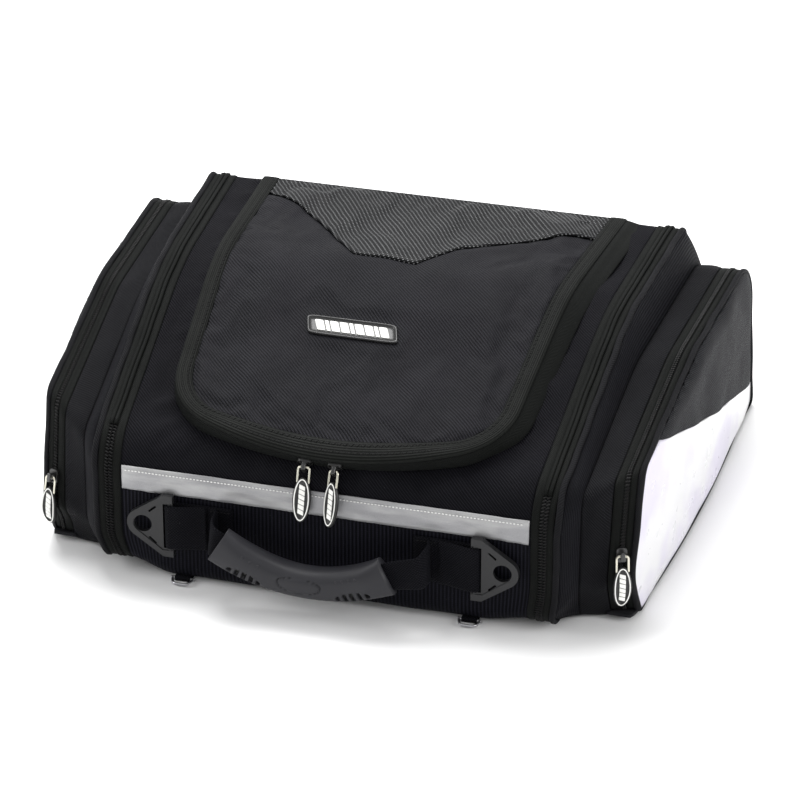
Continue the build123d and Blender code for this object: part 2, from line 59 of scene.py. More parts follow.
# --- Driving dimensions, the same as the CAD model's ----------------------------------------------
SEAM_X = 167.5 * MM
SPLAY = math.radians(2.75)
MAIN_CORNERS = [(-197, 0), (-197, 112.4), (-11.5, 174.5), (154.8, 174.5), (199, 0)]
MAIN_RADII = [16, 36, 240, 10, 8]
FLARE_CORNERS = [(-184, 0.4), (-196.6, 15), (-196.6, 112.2), (-11.5, 174.2), (154.5, 174.2),
                 (198.6, 0.4)]
FLARE_RADII = [8, 8, 35, 230, 10, 8]
ROOT_CORNERS = [(-168, 0), (-181, 36), (-179, 110), (-33, 148.5), (178, 146), (203, 0)]
ROOT_RADII = [6, 25, 14, 150, 50, 8]
END_CORNERS = [(-144, 0), (-168, 42), (-147, 123), (0, 150.5), (175, 147), (203, 0)]
END_RADII = [6, 22, 12, 110, 48, 8]
FLARE_START, FLARE_END, POCKET_EDGE = 22.6, 33.0, 70.0
TRAY_END = 52.5
BULGE_X, BULGE_Y, BULGE_R = 79.0, 19.0, 2120.0
PANEL_RIM_X, END_LINING_X = 70.2, 67.0
WHITE_EDGE = [(-175, 150), (-123, 132), (-5, 91), (195, 23), (225, 13)]
STRIP_Z = (76.0 * MM, 95.0 * MM)
REAR_SPLIT_Y = 150.2 * MM
LID_TILT = math.radians(40)
LID_NOSE_V, LID_CORNER_V, LID_CORNER_X, LID_CORNER_R = -70.0, -41.0, 130.0, 55.0
LID_REAR_X, LID_REAR_V, LID_REAR_Y = 150.0, 235.0, 146.0 * MM
LID_REAR_SHARE = 0.25
SLOPE_END_Y, LID_BACK_Y = -11.5 * MM, 165.7 * MM
LID_HEIGHT = 13.4 * MM
BINDING_W = 12.0 * MM
BINDING_TOP = 15.65 * MM
OPENING_INSET = 14.0 * MM
GRIP_X, GRIP_Y, GRIP_HALF = -9 * MM, -222 * MM, 65 * MM
GRIP_LOW, GRIP_SAG, GRIP_LEAN = 32.5, 18.0, 3.5
WEBBING_Z, WEBBING_HALF, WEBBING_Y = 52 * MM, 18.4 * MM, -197.2 * MM
SIDES = (("left", -1), ("right", 1))
MIDDLE = np.array([0, 0, 0.09])


# --- Curves and grids -----------------------------------------------------------------------------
def unit(vectors):
    """The same directions at length 1."""
    return vectors / np.linalg.norm(vectors, axis=-1, keepdims=True)


def tangents(curve):
    return unit(np.gradient(curve, axis=0))


def run_length(curve):
    """The running length at each point of a curve."""
    return np.concatenate([[0], np.cumsum(np.linalg.norm(np.diff(curve, axis=0), axis=1))])


def even(curve, count):
    """That many points along an open curve at an even spacing."""
    run = run_length(curve)
    at = np.linspace(0, run[-1], count)
    return np.stack([np.interp(at, run, curve[:, k]) for k in range(curve.shape[1])], 1)


def resample(curve, spacing):
    """Points along an open curve, about that far apart."""
    return even(curve, max(2, round(run_length(curve)[-1] / spacing)) + 1)


def smooth(value):
    """An S-curve from 0 to 1 as the value goes from 0 to 1."""
    value = np.clip(value, 0, 1)
    return value * value * (3 - 2 * value)


def steps_in(rows, columns):
    """How many steps each point of a grid lies in from its sides, and from its two ends."""
    across = np.minimum(np.arange(columns), np.arange(columns)[::-1])[None]
    down = np.minimum(np.arange(rows), np.arange(rows)[::-1])[:, None]
    return across, down


def coons(front, back, left, right):
    """A grid between four edges; front and back run left to right, left and right front to back."""
    u = np.linspace(0, 1, len(front))[None, :, None]
    v = np.linspace(0, 1, len(left))[:, None, None]
    ruled_v = (1 - v) * front[None] + v * back[None]
    ruled_u = (1 - u) * left[:, None] + u * right[:, None]
    corners = ((1 - u) * (1 - v) * front[0] + u * (1 - v) * front[-1]
               + (1 - u) * v * back[0] + u * v * back[-1])
    return ruled_v + ruled_u - corners


def ripple(a, b, seed, scale):
    """Smooth pseudo-random waves of height about 1, from a sum of sines with fixed phases."""
    rng = np.random.default_rng(seed)
    total = np.zeros(np.broadcast(a, b).shape)
    for _ in range(9):
        angle, phase = rng.uniform(0, math.pi), rng.uniform(0, 2 * math.pi)
        wave = rng.uniform(0.6, 1.8) * 2 * math.pi / scale
        total += np.sin(wave * (a * math.cos(angle) + b * math.sin(angle)) + phase)
    return total / 3


# --- Outlines -------------------------------------------------------------------------------------
def rounded(corners, radii, arcs, edges):
    """A closed outline as points in metres; arcs and edges are how many steps each one takes."""
    count = len(corners)
    points = []
    ends = []
    for i in range(count):
        here, before, after = (np.array(corners[k % count], float) for k in (i, i - 1, i + 1))
        back, ahead = unit(before - here), unit(after - here)
        half = math.acos(float(back @ ahead)) / 2
        middle = unit(back + ahead)
        centre = here + middle * radii[i] / math.sin(half)
        first = here + back * radii[i] / math.tan(half) - centre
        last = here + ahead * radii[i] / math.tan(half) - centre
        a0, a1 = math.atan2(first[1], first[0]), math.atan2(last[1], last[0])
        a1 = a0 + (a1 - a0 + math.pi) % (2 * math.pi) - math.pi
        turn = np.linspace(a0, a1, arcs[i] + 1)
        ends.append(centre + radii[i] * np.stack([np.cos(turn), np.sin(turn)], 1))
    for i in range(count):
        points.append(ends[i])
        start, stop = ends[i][-1], ends[(i + 1) % count][0]
        share = np.linspace(0, 1, edges[i] + 1)[1:-1, None]
        points.append(start + share * (stop - start))
    return np.concatenate(points) * MM


def edge_steps(corners, step):
    """How many steps of about that length each edge takes."""
    return [max(2, round(math.dist(corners[i], corners[(i + 1) % len(corners)]) / step))
            for i in range(len(corners))]


class Track:
    """A closed outline in the YZ plane with outward normals and its running length."""

    def __init__(self, points):
        ahead = unit(np.roll(points, -1, 0) - np.roll(points, 1, 0))
        ahead = np.vstack([ahead, ahead[:1]])
        self.p = np.vstack([points, points[:1]])
        self.n = np.stack([-ahead[:, 1], ahead[:, 0]], 1)
        self.s = run_length(self.p)
        self.length = self.s[-1]

    def at(self, s, lift=0.0):
        """Points (y, z) at running length s, lifted outwards."""
        at = np.mod(s, self.length)
        p = np.stack([np.interp(at, self.s, self.p[:, k]) for k in (0, 1)], -1)
        return p + self.normal(s) * np.asarray(lift)[..., None]

    def normal(self, s):
        """Outward normals at running length s."""
        at = np.mod(s, self.length)
        return unit(np.stack([np.interp(at, self.s, self.n[:, k]) for k in (0, 1)], -1))

    def s_of_z(self, z):
        """Running length where the front rises through height z."""
        top = int(np.argmax(self.p[:, 1] > 174.4 * MM))
        return float(np.interp(z, self.p[:top, 1], self.s[:top]))

    def s_of_y(self, y):
        """Running length where the top passes y."""
        low = int(np.argmax((self.p[:, 0] > -196 * MM) & (self.p[:, 1] > 50 * MM)))
        high = int(np.argmax(self.p[:, 0]))
        return float(np.interp(y, self.p[low:high, 0], self.s[low:high]))


MAIN = Track(rounded(MAIN_CORNERS, MAIN_RADII, [8, 14, 24, 8, 6], edge_steps(MAIN_CORNERS, 4)))
POCKET_ARCS = [5, 8, 7, 16, 14, 6]
POCKET_EDGES = edge_steps(ROOT_CORNERS, 5)


def pocket_outline(x, grow=0.0):
    """The pocket's outline at x (mm), grown outwards by grow (metres)."""
    share = (x - FLARE_END) / (POCKET_EDGE - FLARE_END)
    corners = [tuple(np.add(a, share * np.subtract(b, a))) for a, b in zip(ROOT_CORNERS, END_CORNERS)]
    radii = [a + share * (b - a) for a, b in zip(ROOT_RADII, END_RADII)]
    points = rounded(corners, radii, POCKET_ARCS, POCKET_EDGES)
    return points + Track(points).n[:-1] * grow


# --- The lid's U outline, on the main compartment's surface ---------------------------------------
def lid_curve():
    """The U from rear left round the nose to rear right, as (x, s) with inward normals."""
    rise = LID_CORNER_V - LID_NOSE_V
    bend = (LID_CORNER_X ** 2 + rise ** 2) / (2 * rise)
    hub = np.array([0, LID_NOSE_V + bend])
    rear, corner = np.array([LID_REAR_X, LID_REAR_V]), np.array([LID_CORNER_X, LID_CORNER_V])
    down = unit(corner - rear)
    inward = np.array([down[1], -down[0]])
    begin = rear + LID_CORNER_R * inward - hub
    reach = bend - LID_CORNER_R
    b = float(begin @ down)
    along = -b + math.sqrt(b * b - float(begin @ begin) + reach ** 2)
    centre = rear + LID_CORNER_R * inward + along * down
    a0 = math.atan2(-inward[1], -inward[0])
    out = unit(centre - hub)
    a1 = math.atan2(out[1], out[0])
    side_end = centre - LID_CORNER_R * inward
    side = rear + np.linspace(0, 1, 60)[:-1, None] * (side_end - rear)
    turn = np.linspace(a0, a1, 18)[:-1]
    arc = centre + LID_CORNER_R * np.stack([np.cos(turn), np.sin(turn)], 1)
    sweep_angle = np.linspace(a1, -math.pi / 2, 34)
    nose = hub + bend * np.stack([np.cos(sweep_angle), np.sin(sweep_angle)], 1)
    half = np.concatenate([side, arc, nose])
    mirror = half[:-1][::-1] * [-1, 1]
    whole = np.concatenate([half, mirror])[::-1] * MM
    # from the tilted plane to running length on the surface, at half the lid's height
    grid = np.linspace(MAIN.s_of_z(60 * MM), MAIN.s_of_y(152 * MM), 900)
    at = MAIN.at(grid, 7 * MM)
    v = at[:, 0] * math.cos(LID_TILT) + at[:, 1] * math.sin(LID_TILT)
    s = np.interp(whole[:, 1], v, grid)
    keep = s < MAIN.s_of_y(LID_REAR_Y)
    curve = np.stack([whole[:, 0], s], 1)[keep]
    for end, step in ((0, 1), (-1, -1)):
        first, second = curve[end], curve[end + step]
        share = (MAIN.s_of_y(LID_REAR_Y) - first[1]) / (second[1] - first[1])
        tip = first + share * (second - first)
        curve = np.vstack([tip, curve]) if end == 0 else np.vstack([curve, tip])
    ahead = tangents(curve)
    inward = np.stack([-ahead[:, 1], ahead[:, 0]], 1)
    inward[0], inward[-1] = (1, 0), (-1, 0)
    return curve, inward


LID_U, LID_IN = lid_curve()
LID_LEN = run_length(LID_U)


def on_main(x, s, lift=0.0):
    """Points on the main compartment's surface at width x and running length s."""
    x, s, lift = np.broadcast_arrays(np.asarray(x, float), np.asarray(s, float), np.asarray(lift, float))
    yz = MAIN.at(s, lift)
    return np.stack([x, yz[..., 0], yz[..., 1]], -1)


def lid_rise(s):
    """How much of its full height the lid keeps at s: all of it in front, less towards the rear."""
    share = np.clip((MAIN.at(s)[..., 0] - SLOPE_END_Y) / (LID_BACK_Y - SLOPE_END_Y), 0, 1)
    return 1 - (1 - LID_REAR_SHARE) * share


def half_width(s, inset=0.0):
    """Half width of the main compartment, between its splayed side seams."""
    return SEAM_X + math.tan(SPLAY) * MAIN.at(s)[..., 0] - inset


def on_side(points, side):
    """From the side frame (x outwards from the side seam) to the row frame."""
    x, y, z = points[..., 0], points[..., 1], points[..., 2]
    return np.stack([side * (SEAM_X + x * math.cos(SPLAY) + y * math.sin(SPLAY)),
                     -x * math.sin(SPLAY) + y * math.cos(SPLAY), z], -1)


def soften(points):
    """Rounds the two lower front corners, where the empty bag lifts off the ground."""
    x, y, z = points[..., 0], points[..., 1], points[..., 2]
    near = (smooth((np.abs(x) - 118 * MM) / (50 * MM)) * smooth((42 * MM - z) / (42 * MM))
            * smooth((-150 * MM - y) / (34 * MM)))
    pull = near * np.where(x < 0, 1.0, 0.55)
    return np.stack([x - np.sign(x) * pull * 6 * MM, y + pull * 2 * MM, z + pull * 10 * MM], -1)


# --- Mesh building --------------------------------------------------------------------------------
QUAD = ((slice(None, -1), slice(None, -1)), (slice(1, None), slice(None, -1)),
        (slice(1, None), slice(1, None)), (slice(None, -1), slice(1, None)))


def add_mesh(name, vertices, faces):
    """A smooth-shaded object from vertices and faces."""
    mesh = bpy.data.meshes.new(name)
    mesh.from_pydata(vertices, [], faces)
    mesh.shade_smooth()
    made = bpy.data.objects.new(name, mesh)
    bpy.context.scene.collection.objects.link(made)
    return made


def write_weave(layer, weave):
    """Writes (across, along) at each face corner into a mesh attribute."""
    values = np.column_stack([weave, np.zeros(len(weave))]).astype(np.float32)
    layer.data.foreach_set("vector", values.ravel())


def lattice(name, grid, wrap_u=False, wrap_v=False, cloth=None, inwards=False, caps=False):
    """A mesh from a grid of points, facing away from the bag's middle unless it faces inwards.
    cloth holds its weave coordinates in metres."""
    grid = soften(grid)
    nu, nv = grid.shape[:2]
    index = np.arange(nu * nv).reshape(nu, nv)
    points = grid
    if wrap_u:
        index, points = np.vstack([index, index[:1]]), np.concatenate([points, points[:1]])
    if wrap_v:
        index, points = np.hstack([index, index[:, :1]]), np.concatenate([points, points[:, :1]], 1)
    if cloth is None:
        runs = [np.linalg.norm(np.diff(points, axis=a), axis=-1) for a in (0, 1)]
        u = np.concatenate([np.zeros((1, points.shape[1])), np.cumsum(runs[0], 0)])
        v = np.concatenate([np.zeros((points.shape[0], 1)), np.cumsum(runs[1], 1)], 1)
        u = np.broadcast_to(u.mean(1, keepdims=True), u.shape)
        cloth = np.stack([v, u], -1)
    quads = np.stack([index[a, b] for a, b in QUAD], -1).reshape(-1, 4)
    weave = np.stack([cloth[a, b] for a, b in QUAD], -2).reshape(-1, 4, 2)
    at = grid.reshape(-1, 3)[quads]
    facing = np.cross(at[:, 2] - at[:, 0], at[:, 3] - at[:, 1])
    flip = ((facing * (at.mean(1) - MIDDLE)).sum() < 0) != inwards
    if flip:
        quads, weave = quads[:, ::-1], weave[:, ::-1]
    faces = quads.tolist()
    weave = weave.reshape(-1, 2)
    if caps:
        for row, turn in ((index[0, :nv], 1), (index[-1, :nv], -1)):
            faces.append(row[::turn if not flip else -turn].tolist())
            weave = np.vstack([weave, np.zeros((nv, 2))])
    made = add_mesh(name, grid.reshape(-1, 3).tolist(), faces)
    write_weave(made.data.attributes.new("cloth", "FLOAT_VECTOR", "CORNER"), weave)
    return made


def recloth(made, coordinates):
    """Writes the weave coordinates of a lattice again from a grid of (across, along)."""
    weave = np.stack([coordinates[a, b] for a, b in QUAD], -2).reshape(-1, 2)
    write_weave(made.data.attributes["cloth"], weave)


def swap_weave(made):
    """Turns the weave a quarter turn."""
    layer = made.data.attributes["cloth"].data
    values = np.zeros(len(layer) * 3, np.float32)
    layer.foreach_get("vector", values)
    values = values.reshape(-1, 3)[:, [1, 0, 2]]
    layer.foreach_set("vector", values.ravel())


def dress(made, material, body=None, slot=None, replaces=(), inside=None):
    """Gives a piece its material and its body, and hides the CAD nodes it stands for; slot is not used."""
    made.data.materials.append(material)
    if inside is not None:
        made.data.materials.append(inside)
    if replaces:
        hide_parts(*replaces)
    if body:
        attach(made, body)
    return made


def thicken(made, thickness, lined=False, offset=-1.0):
    """Gives a surface its thickness, inwards unless offset says otherwise; lined takes material 2."""
    skin = made.modifiers.new("thickness", "SOLIDIFY")
    skin.thickness = thickness
    skin.offset = offset
    skin.use_even_offset = False
    if lined:
        skin.material_offset = 1
    return made


def coil(name, place, length, radius=(0.85 * MM, 1.35 * MM), pitch=2.5 * MM, wire=0.55 * MM):
    """A zip's nylon coil. place(s, up, across) gives a point beside the coil's line."""
    per_turn = 7
    count = int(length / pitch) * per_turn
    turn = np.arange(count) * 2 * math.pi / per_turn
    s = np.arange(count) * pitch / per_turn
    ring = np.linspace(0, 2 * math.pi, 4, endpoint=False)
    up = (radius[0] + wire * np.cos(ring))[None] * np.cos(turn)[:, None]
    across = (radius[1] + wire * np.cos(ring))[None] * np.sin(turn)[:, None]
    along = s[:, None] + wire * np.sin(ring)[None]
    made = lattice(name, place(along, up, across), wrap_v=True)
    return dress(made, COIL)


def stitch_row(name, place, length, pitch, size=1.9 * MM, radius=0.32 * MM, material=None, lean=0.0):
    """A row of separate stitches. place(s, across, up) gives a point beside the row's line."""
    ring = np.linspace(0, 2 * math.pi, 5, endpoint=False)
    stations = np.array([-0.5, -0.3, 0.3, 0.5]) * size
    swell = np.array([0.35, 1.0, 1.0, 0.35]) * radius
    vertices, faces = [], []
    for k in range(int(length / pitch)):
        base = len(vertices)
        centre = (k + 0.5) * pitch
        tilt = lean * (1 if k % 2 else -1)
        s = centre + np.repeat(stations * math.cos(tilt), 5)
        across = np.repeat(stations * math.sin(tilt), 5)
        across = across + np.concatenate([w * np.cos(ring) for w in swell])
        up = np.concatenate([w * np.sin(ring) for w in swell])
        vertices += place(s, across, up).tolist()
        for i in range(3):
            for j in range(5):
                a, b = base + i * 5 + j, base + i * 5 + (j + 1) % 5
                faces.append((a, b, b + 5, a + 5))
        faces.append(tuple(base + j for j in range(4, -1, -1)))
        faces.append(tuple(base + 15 + j for j in range(5)))
    return dress(add_mesh(name, vertices, faces), material or BLACK_THREAD)


# --- Materials ------------------------------------------------------------------------------------
class Recipe:
    """A procedural material, built node by node."""

    def __init__(self, name, colour, roughness=0.6, **sockets):
        self.material = bpy.data.materials.new(name)
        self.material.use_nodes = True
        self.tree = self.material.node_tree
        self.shader = self.tree.nodes["Principled BSDF"]
        self.shader.inputs["Base Color"].default_value = (*colour, 1)
        self.shader.inputs["Roughness"].default_value = roughness
        for key, value in sockets.items():
            self.shader.inputs[key.replace("_", " ")].default_value = value

    def link(self, socket, value):
        if isinstance(value, (int, float)):
            socket.default_value = value
        elif isinstance(value, tuple):
            socket.default_value = (*value, 1)[:len(socket.default_value)]
        else:
            self.tree.links.new(value, socket)

    def math(self, operation, *values):
        node = self.tree.nodes.new("ShaderNodeMath")
        node.operation = operation
        for socket, value in zip(node.inputs, values):
            self.link(socket, value)
        return node.outputs[0]

    def cloth(self):
        """The weave coordinates across and along the cloth, in metres."""
        node = self.tree.nodes.new("ShaderNodeAttribute")
        node.attribute_name = "cloth"
        parts = self.tree.nodes.new("ShaderNodeSeparateXYZ")
        self.tree.links.new(node.outputs["Vector"], parts.inputs[0])
        return parts.outputs[0], parts.outputs[1]

    def place(self):
        """Object coordinates, which are metres in the row frame."""
        node = self.tree.nodes.new("ShaderNodeTexCoord")
        return node.outputs["Object"]

    def noise(self, scale, detail=3.0, roughness=0.55, stretch=None):
        node = self.tree.nodes.new("ShaderNodeTexNoise")
        node.inputs["Scale"].default_value = scale
        node.inputs["Detail"].default_value = detail
        node.inputs["Roughness"].default_value = roughness
        vector = self.place()
        if stretch:
            mapping = self.tree.nodes.new("ShaderNodeMapping")
            mapping.inputs["Scale"].default_value = stretch
            self.tree.links.new(vector, mapping.inputs["Vector"])
            vector = mapping.outputs[0]
        self.tree.links.new(vector, node.inputs["Vector"])
        return node.outputs["Fac"]

    def wave(self, value, pitch, phase=0.0):
        """A sine of that pitch, from 0 to 1."""
        angle = self.math("MULTIPLY_ADD", value, 2 * math.pi / pitch, phase)
        return self.math("MULTIPLY_ADD", self.math("SINE", angle), 0.5, 0.5)

    def ramp(self, value, low, high):
        node = self.tree.nodes.new("ShaderNodeMapRange")
        node.interpolation_type = "SMOOTHSTEP"
        for key, number in (("From Min", low), ("From Max", high)):
            node.inputs[key].default_value = number
        self.link(node.inputs["Value"], value)
        return node.outputs[0]

    def mix(self, share, first, second):
        node = self.tree.nodes.new("ShaderNodeMix")
        node.data_type = "RGBA"
        self.link(node.inputs[0], share)
        self.link(node.inputs[6], first)
        self.link(node.inputs[7], second)
        return node.outputs[2]

    def finish(self, colour=None, roughness=None, height=None, depth=0.3 * MM, strength=0.6):
        if colour is not None:
            self.link(self.shader.inputs["Base Color"], colour)
        if roughness is not None:
            self.link(self.shader.inputs["Roughness"], roughness)
        if height is not None:
            bump = self.tree.nodes.new("ShaderNodeBump")
            bump.inputs["Distance"].default_value = depth
            bump.inputs["Strength"].default_value = strength
            self.link(bump.inputs["Height"], height)
            self.tree.links.new(bump.outputs[0], self.shader.inputs["Normal"])
        return self.material


def woven(name, dark, light, pitch, kind, rough=(0.55, 0.75), depth=0.5 * MM, gloss=0.1):
    """Woven fabric. kind is twill, rib, basket, mesh or herringbone; pitch is one repeat."""
    made = Recipe(name, dark, sum(rough) / 2, Sheen_Weight=0.012, Sheen_Roughness=0.45,
                  Specular_IOR_Level=gloss)
    made.shader.inputs["Sheen Tint"].default_value = (0.75, 0.77, 0.85, 1)
    u, v = made.cloth()
    if kind == "twill":
        line = made.wave(made.math("ADD", u, v), pitch)
        cross = made.wave(made.math("SUBTRACT", u, v), pitch * 0.5)
        height = made.math("MULTIPLY_ADD", cross, 0.35, made.math("MULTIPLY", line, 0.65))
    elif kind == "rib":
        line = made.wave(u, pitch)
        cross = made.wave(v, pitch * 0.6)
        height = made.math("MULTIPLY_ADD", cross, 0.2, made.math("MULTIPLY", line, 0.8))
    elif kind == "herringbone":
        fold = made.math("PINGPONG", u, pitch * 2.5)
        height = made.wave(made.math("ADD", fold, v), pitch)
    else:
        if kind == "mesh":
            u = made.math("MULTIPLY_ADD", v, -0.42, u)
        height = made.math("MULTIPLY", made.wave(u, pitch), made.wave(v, pitch))
        other = made.math("MULTIPLY", made.wave(u, pitch, math.pi), made.wave(v, pitch, math.pi))
        height = made.math("ADD", height, other)
        if kind == "mesh":
            height = made.ramp(height, 0.6, 0.95)
    cloudy = made.noise(18, 4)
    sharp = made.math("POWER", height, 2.2)
    share = made.math("MULTIPLY", sharp, made.math("MULTIPLY_ADD", cloudy, 1.2, 0.35))
    colour = made.mix(share, dark, light)
    lint = made.ramp(made.noise(900, 1), 0.76, 0.8)
    colour = made.mix(made.math("MULTIPLY", lint, 0.25), colour, (0.12, 0.12, 0.12))
    roughness = made.math("MULTIPLY_ADD", made.noise(40, 3), rough[1] - rough[0], rough[0])
    soft = made.math("MULTIPLY_ADD", made.noise(55, 4), 1.2, height)
    return made.finish(colour, roughness, soft, depth, 0.9)


def moulded(name, dark, light, roughness, grain=700, strength=0.25, **sockets):
    """Moulded rubber or plastic with a fine grain and slightly uneven colour."""
    made = Recipe(name, dark, roughness, **sockets)
    fine = made.noise(grain, 3)
    colour = made.mix(made.noise(30, 4), dark, light)
    rough = made.math("MULTIPLY_ADD", made.noise(60, 3), 0.2, roughness - 0.1)
    return made.finish(colour, rough, fine, 0.15 * MM, strength)


TWILL = woven("twill", (0.0002, 0.0002, 0.0008), (0.021, 0.0205, 0.0265), 2.9 * MM, "twill",
              gloss=0.12)
# Painted shade: the shell round the opening wears a darker copy of the lid's twill, standing in for the
# lid's shadow on it
SHADED_SHELL_TWILL = woven("shaded_shell_twill", (0.0002, 0.0002, 0.0008), (0.0125, 0.012, 0.0165), 2.7 * MM,
                    "twill", gloss=0.06)
POCKET_TWILL = woven("pocket_twill", (0.0010, 0.0011, 0.0018), (0.028, 0.0285, 0.033), 2.4 * MM,
                     "twill", gloss=0.12)
TRAY_TWILL = woven("tray_twill", (0.0005, 0.0005, 0.0010), (0.0145, 0.0145, 0.018), 2.4 * MM,
                   "twill", gloss=0.08)
RIBBED = woven("ribbed", (0.0003, 0.0003, 0.0014), (0.012, 0.012, 0.018), 2.9 * MM, "rib", gloss=0.06)
FLARE_RIBBED = woven("flare_ribbed", (0.0003, 0.0003, 0.0010), (0.013, 0.013, 0.017), 2.4 * MM,
                     "rib", depth=0.6 * MM, gloss=0.07)
CARBON = woven("carbon_mesh", (0.0015, 0.0017, 0.0022), (0.17, 0.173, 0.176), 3.8 * MM, "mesh",
               rough=(0.4, 0.55), depth=0.4 * MM, gloss=0.12)
BINDING = woven("binding", (0.0012, 0.0015, 0.0012), (0.014, 0.0155, 0.0135), 1.6 * MM, "rib",
                depth=0.3 * MM, gloss=0.09)
TAPE = woven("zip_tape", (0.0010, 0.0013, 0.0011), (0.011, 0.0122, 0.0108), 1.5 * MM, "herringbone",
             depth=0.25 * MM, gloss=0.08)
PIPING = woven("piping", (0.0006, 0.0006, 0.0012), (0.019, 0.019, 0.022), 2.2 * MM, "twill")
WEBBING = woven("webbing", (0.0003, 0.0003, 0.0012), (0.009, 0.009, 0.012), 2.3 * MM, "basket",
                gloss=0.06)
LINING = woven("lining", (0.008, 0.008, 0.010), (0.030, 0.030, 0.034), 1.1 * MM, "basket")
BASE = woven("coated_base", (0.005, 0.005, 0.006), (0.018, 0.018, 0.020), 1.5 * MM, "basket",
             rough=(0.5, 0.7))
BLACK_THREAD = woven("black_thread", (0.006, 0.006, 0.006), (0.03, 0.03, 0.032), 0.5 * MM, "rib",
                     depth=0.1 * MM)
WHITE_THREAD = woven("white_thread", (0.65, 0.65, 0.64), (0.9, 0.9, 0.88), 0.5 * MM, "rib",
                     depth=0.1 * MM)
COIL = moulded("zip_coil", (0.003, 0.003, 0.003), (0.009, 0.009, 0.009), 0.45, strength=0.1,
               Specular_IOR_Level=0.3)
RUBBER = moulded("tag_rubber", (0.006, 0.006, 0.006), (0.012, 0.012, 0.012), 0.4)
GRIP = moulded("grip_rubber", (0.0125, 0.0125, 0.0155), (0.021, 0.021, 0.025), 0.5, grain=500,
               strength=0.35, Specular_IOR_Level=0.3)
PLASTIC = moulded("ring_plastic", (0.008, 0.008, 0.009), (0.014, 0.014, 0.015), 0.38, strength=0.2,
                  Specular_IOR_Level=0.35)
WHITE_INK = moulded("white_print", (0.78, 0.78, 0.74), (0.9, 0.9, 0.87), 0.4, strength=0.1)
BLACK_METAL = moulded("black_zinc", (0.010, 0.010, 0.010), (0.02, 0.02, 0.02), 0.3, strength=0.08,
                      Coat_Weight=0.4, Coat_Roughness=0.2)
WIRE = moulded("nickel_wire", (0.62, 0.60, 0.50), (0.74, 0.72, 0.62), 0.32, strength=0.08,
               Metallic=0.9)
STEEL = moulded("anchor_steel", (0.34, 0.34, 0.36), (0.46, 0.46, 0.48), 0.35, strength=0.1,
                Metallic=1.0)
BOARD = moulded("stiff_board", (0.024, 0.024, 0.024), (0.04, 0.04, 0.04), 0.65, grain=250,
                strength=0.4)


def glossy_vinyl():
    """White vinyl with a faint lilac reflection painted into its colour in broad patches that come and go.
    """
    made = Recipe("white_vinyl", (0.7, 0.7, 0.74), 0.3, Coat_Weight=0.25, Coat_Roughness=0.15)
    # Painted reflection: broad lilac patches mixed into the white's colour
    patch = made.ramp(made.noise(9, 3), 0.42, 0.56)
    colour = made.mix(patch, (0.56, 0.53, 0.63), (0.66, 0.66, 0.665))
    return made.finish(colour, made.math("MULTIPLY_ADD", made.noise(50), 0.15, 0.22), made.noise(60, 2),
                       0.4 * MM, 0.15)


WHITE_VINYL = glossy_vinyl()


def reflective():
    """Silver retroreflective tape: glass-bead speckle and long creases."""
    made = Recipe("reflective_tape", (0.3, 0.3, 0.31), 0.42, Metallic=0.35)
    crease = made.noise(22, 4, stretch=(1.0, 1.0, 4.0))
    # Painted shade and highlight: the colour follows the creases' height, darker in their hollows and
    # lighter on their ridges
    colour = made.mix(made.ramp(crease, 0.35, 0.7), (0.22, 0.22, 0.23), (0.37, 0.37, 0.37))
    colour = made.mix(made.math("MULTIPLY", made.noise(1500, 1), 0.3), colour, (0.5, 0.5, 0.5))
    height = made.math("MULTIPLY_ADD", made.noise(1500, 1), 0.08, crease)
    return made.finish(colour, made.math("MULTIPLY_ADD", crease, 0.25, 0.3), height, 0.8 * MM, 0.5)


REFLECTIVE = reflective()


# --- Main compartment -----------------------------------------------------------------------------
def main_band(name, s0, s1, rows, columns, waves, seed):
    """A panel right across the bag between two running lengths of the main outline."""
    s = np.linspace(s0, s1, rows)[:, None] * np.ones((1, columns))
    across = np.linspace(-1, 1, columns)[None]
    x = across * half_width(s)
    edge = (1 - np.abs(across) ** 6) * np.sin(np.linspace(0, math.pi, rows))[:, None] ** 0.5
    bump = waves * edge * ripple(x, s, seed, 90 * MM)
    grid = on_main(x, s, bump)
    return lattice(name, grid, cloth=np.stack([x, s], -1))


def make_base_and_front():
    """The ribbed front band, the base and the rear panel."""
    top = MAIN.s_of_z(STRIP_Z[0] - 0.2 * MM)
    band = main_band("front_band", 0.2 * MM, top, 40, 100, waves=0.8 * MM, seed=3)
    thicken(dress(band, RIBBED, "bag_body", "ribbed_fabric", ["front_band"], LINING), 2.8 * MM, True)
    rear_foot = MAIN.length - (381.0 - 8.0) * MM
    base = main_band("base_panel", rear_foot, MAIN.length - 0.2 * MM, 90, 80, waves=-0.3 * MM, seed=4)
    thicken(dress(base, BASE, "bag_body", "coated_base", ["base_panel"], LINING), 2.8 * MM, True)
    rear = main_band("rear_panel", MAIN.s_of_y(REAR_SPLIT_Y), rear_foot, 56, 90, waves=1.4 * MM, seed=5)
    thicken(dress(rear, TWILL, "bag_body", "twill", ["rear_panel"], LINING), 2.8 * MM, True)


def opening_loop(inset, rear_y):
    """The opening under the lid as a loop of (x, s): round the U, then back along its rear."""
    curve = LID_U + LID_IN * inset
    rear_s = MAIN.s_of_y(rear_y)
    curve[:, 1] = np.minimum(curve[:, 1], rear_s)
    rear_x = np.linspace(curve[-1, 0], curve[0, 0], 40)[1:-1]
    rear = np.stack([rear_x, np.full(len(rear_x), rear_s)], 1)
    return np.concatenate([curve, rear])


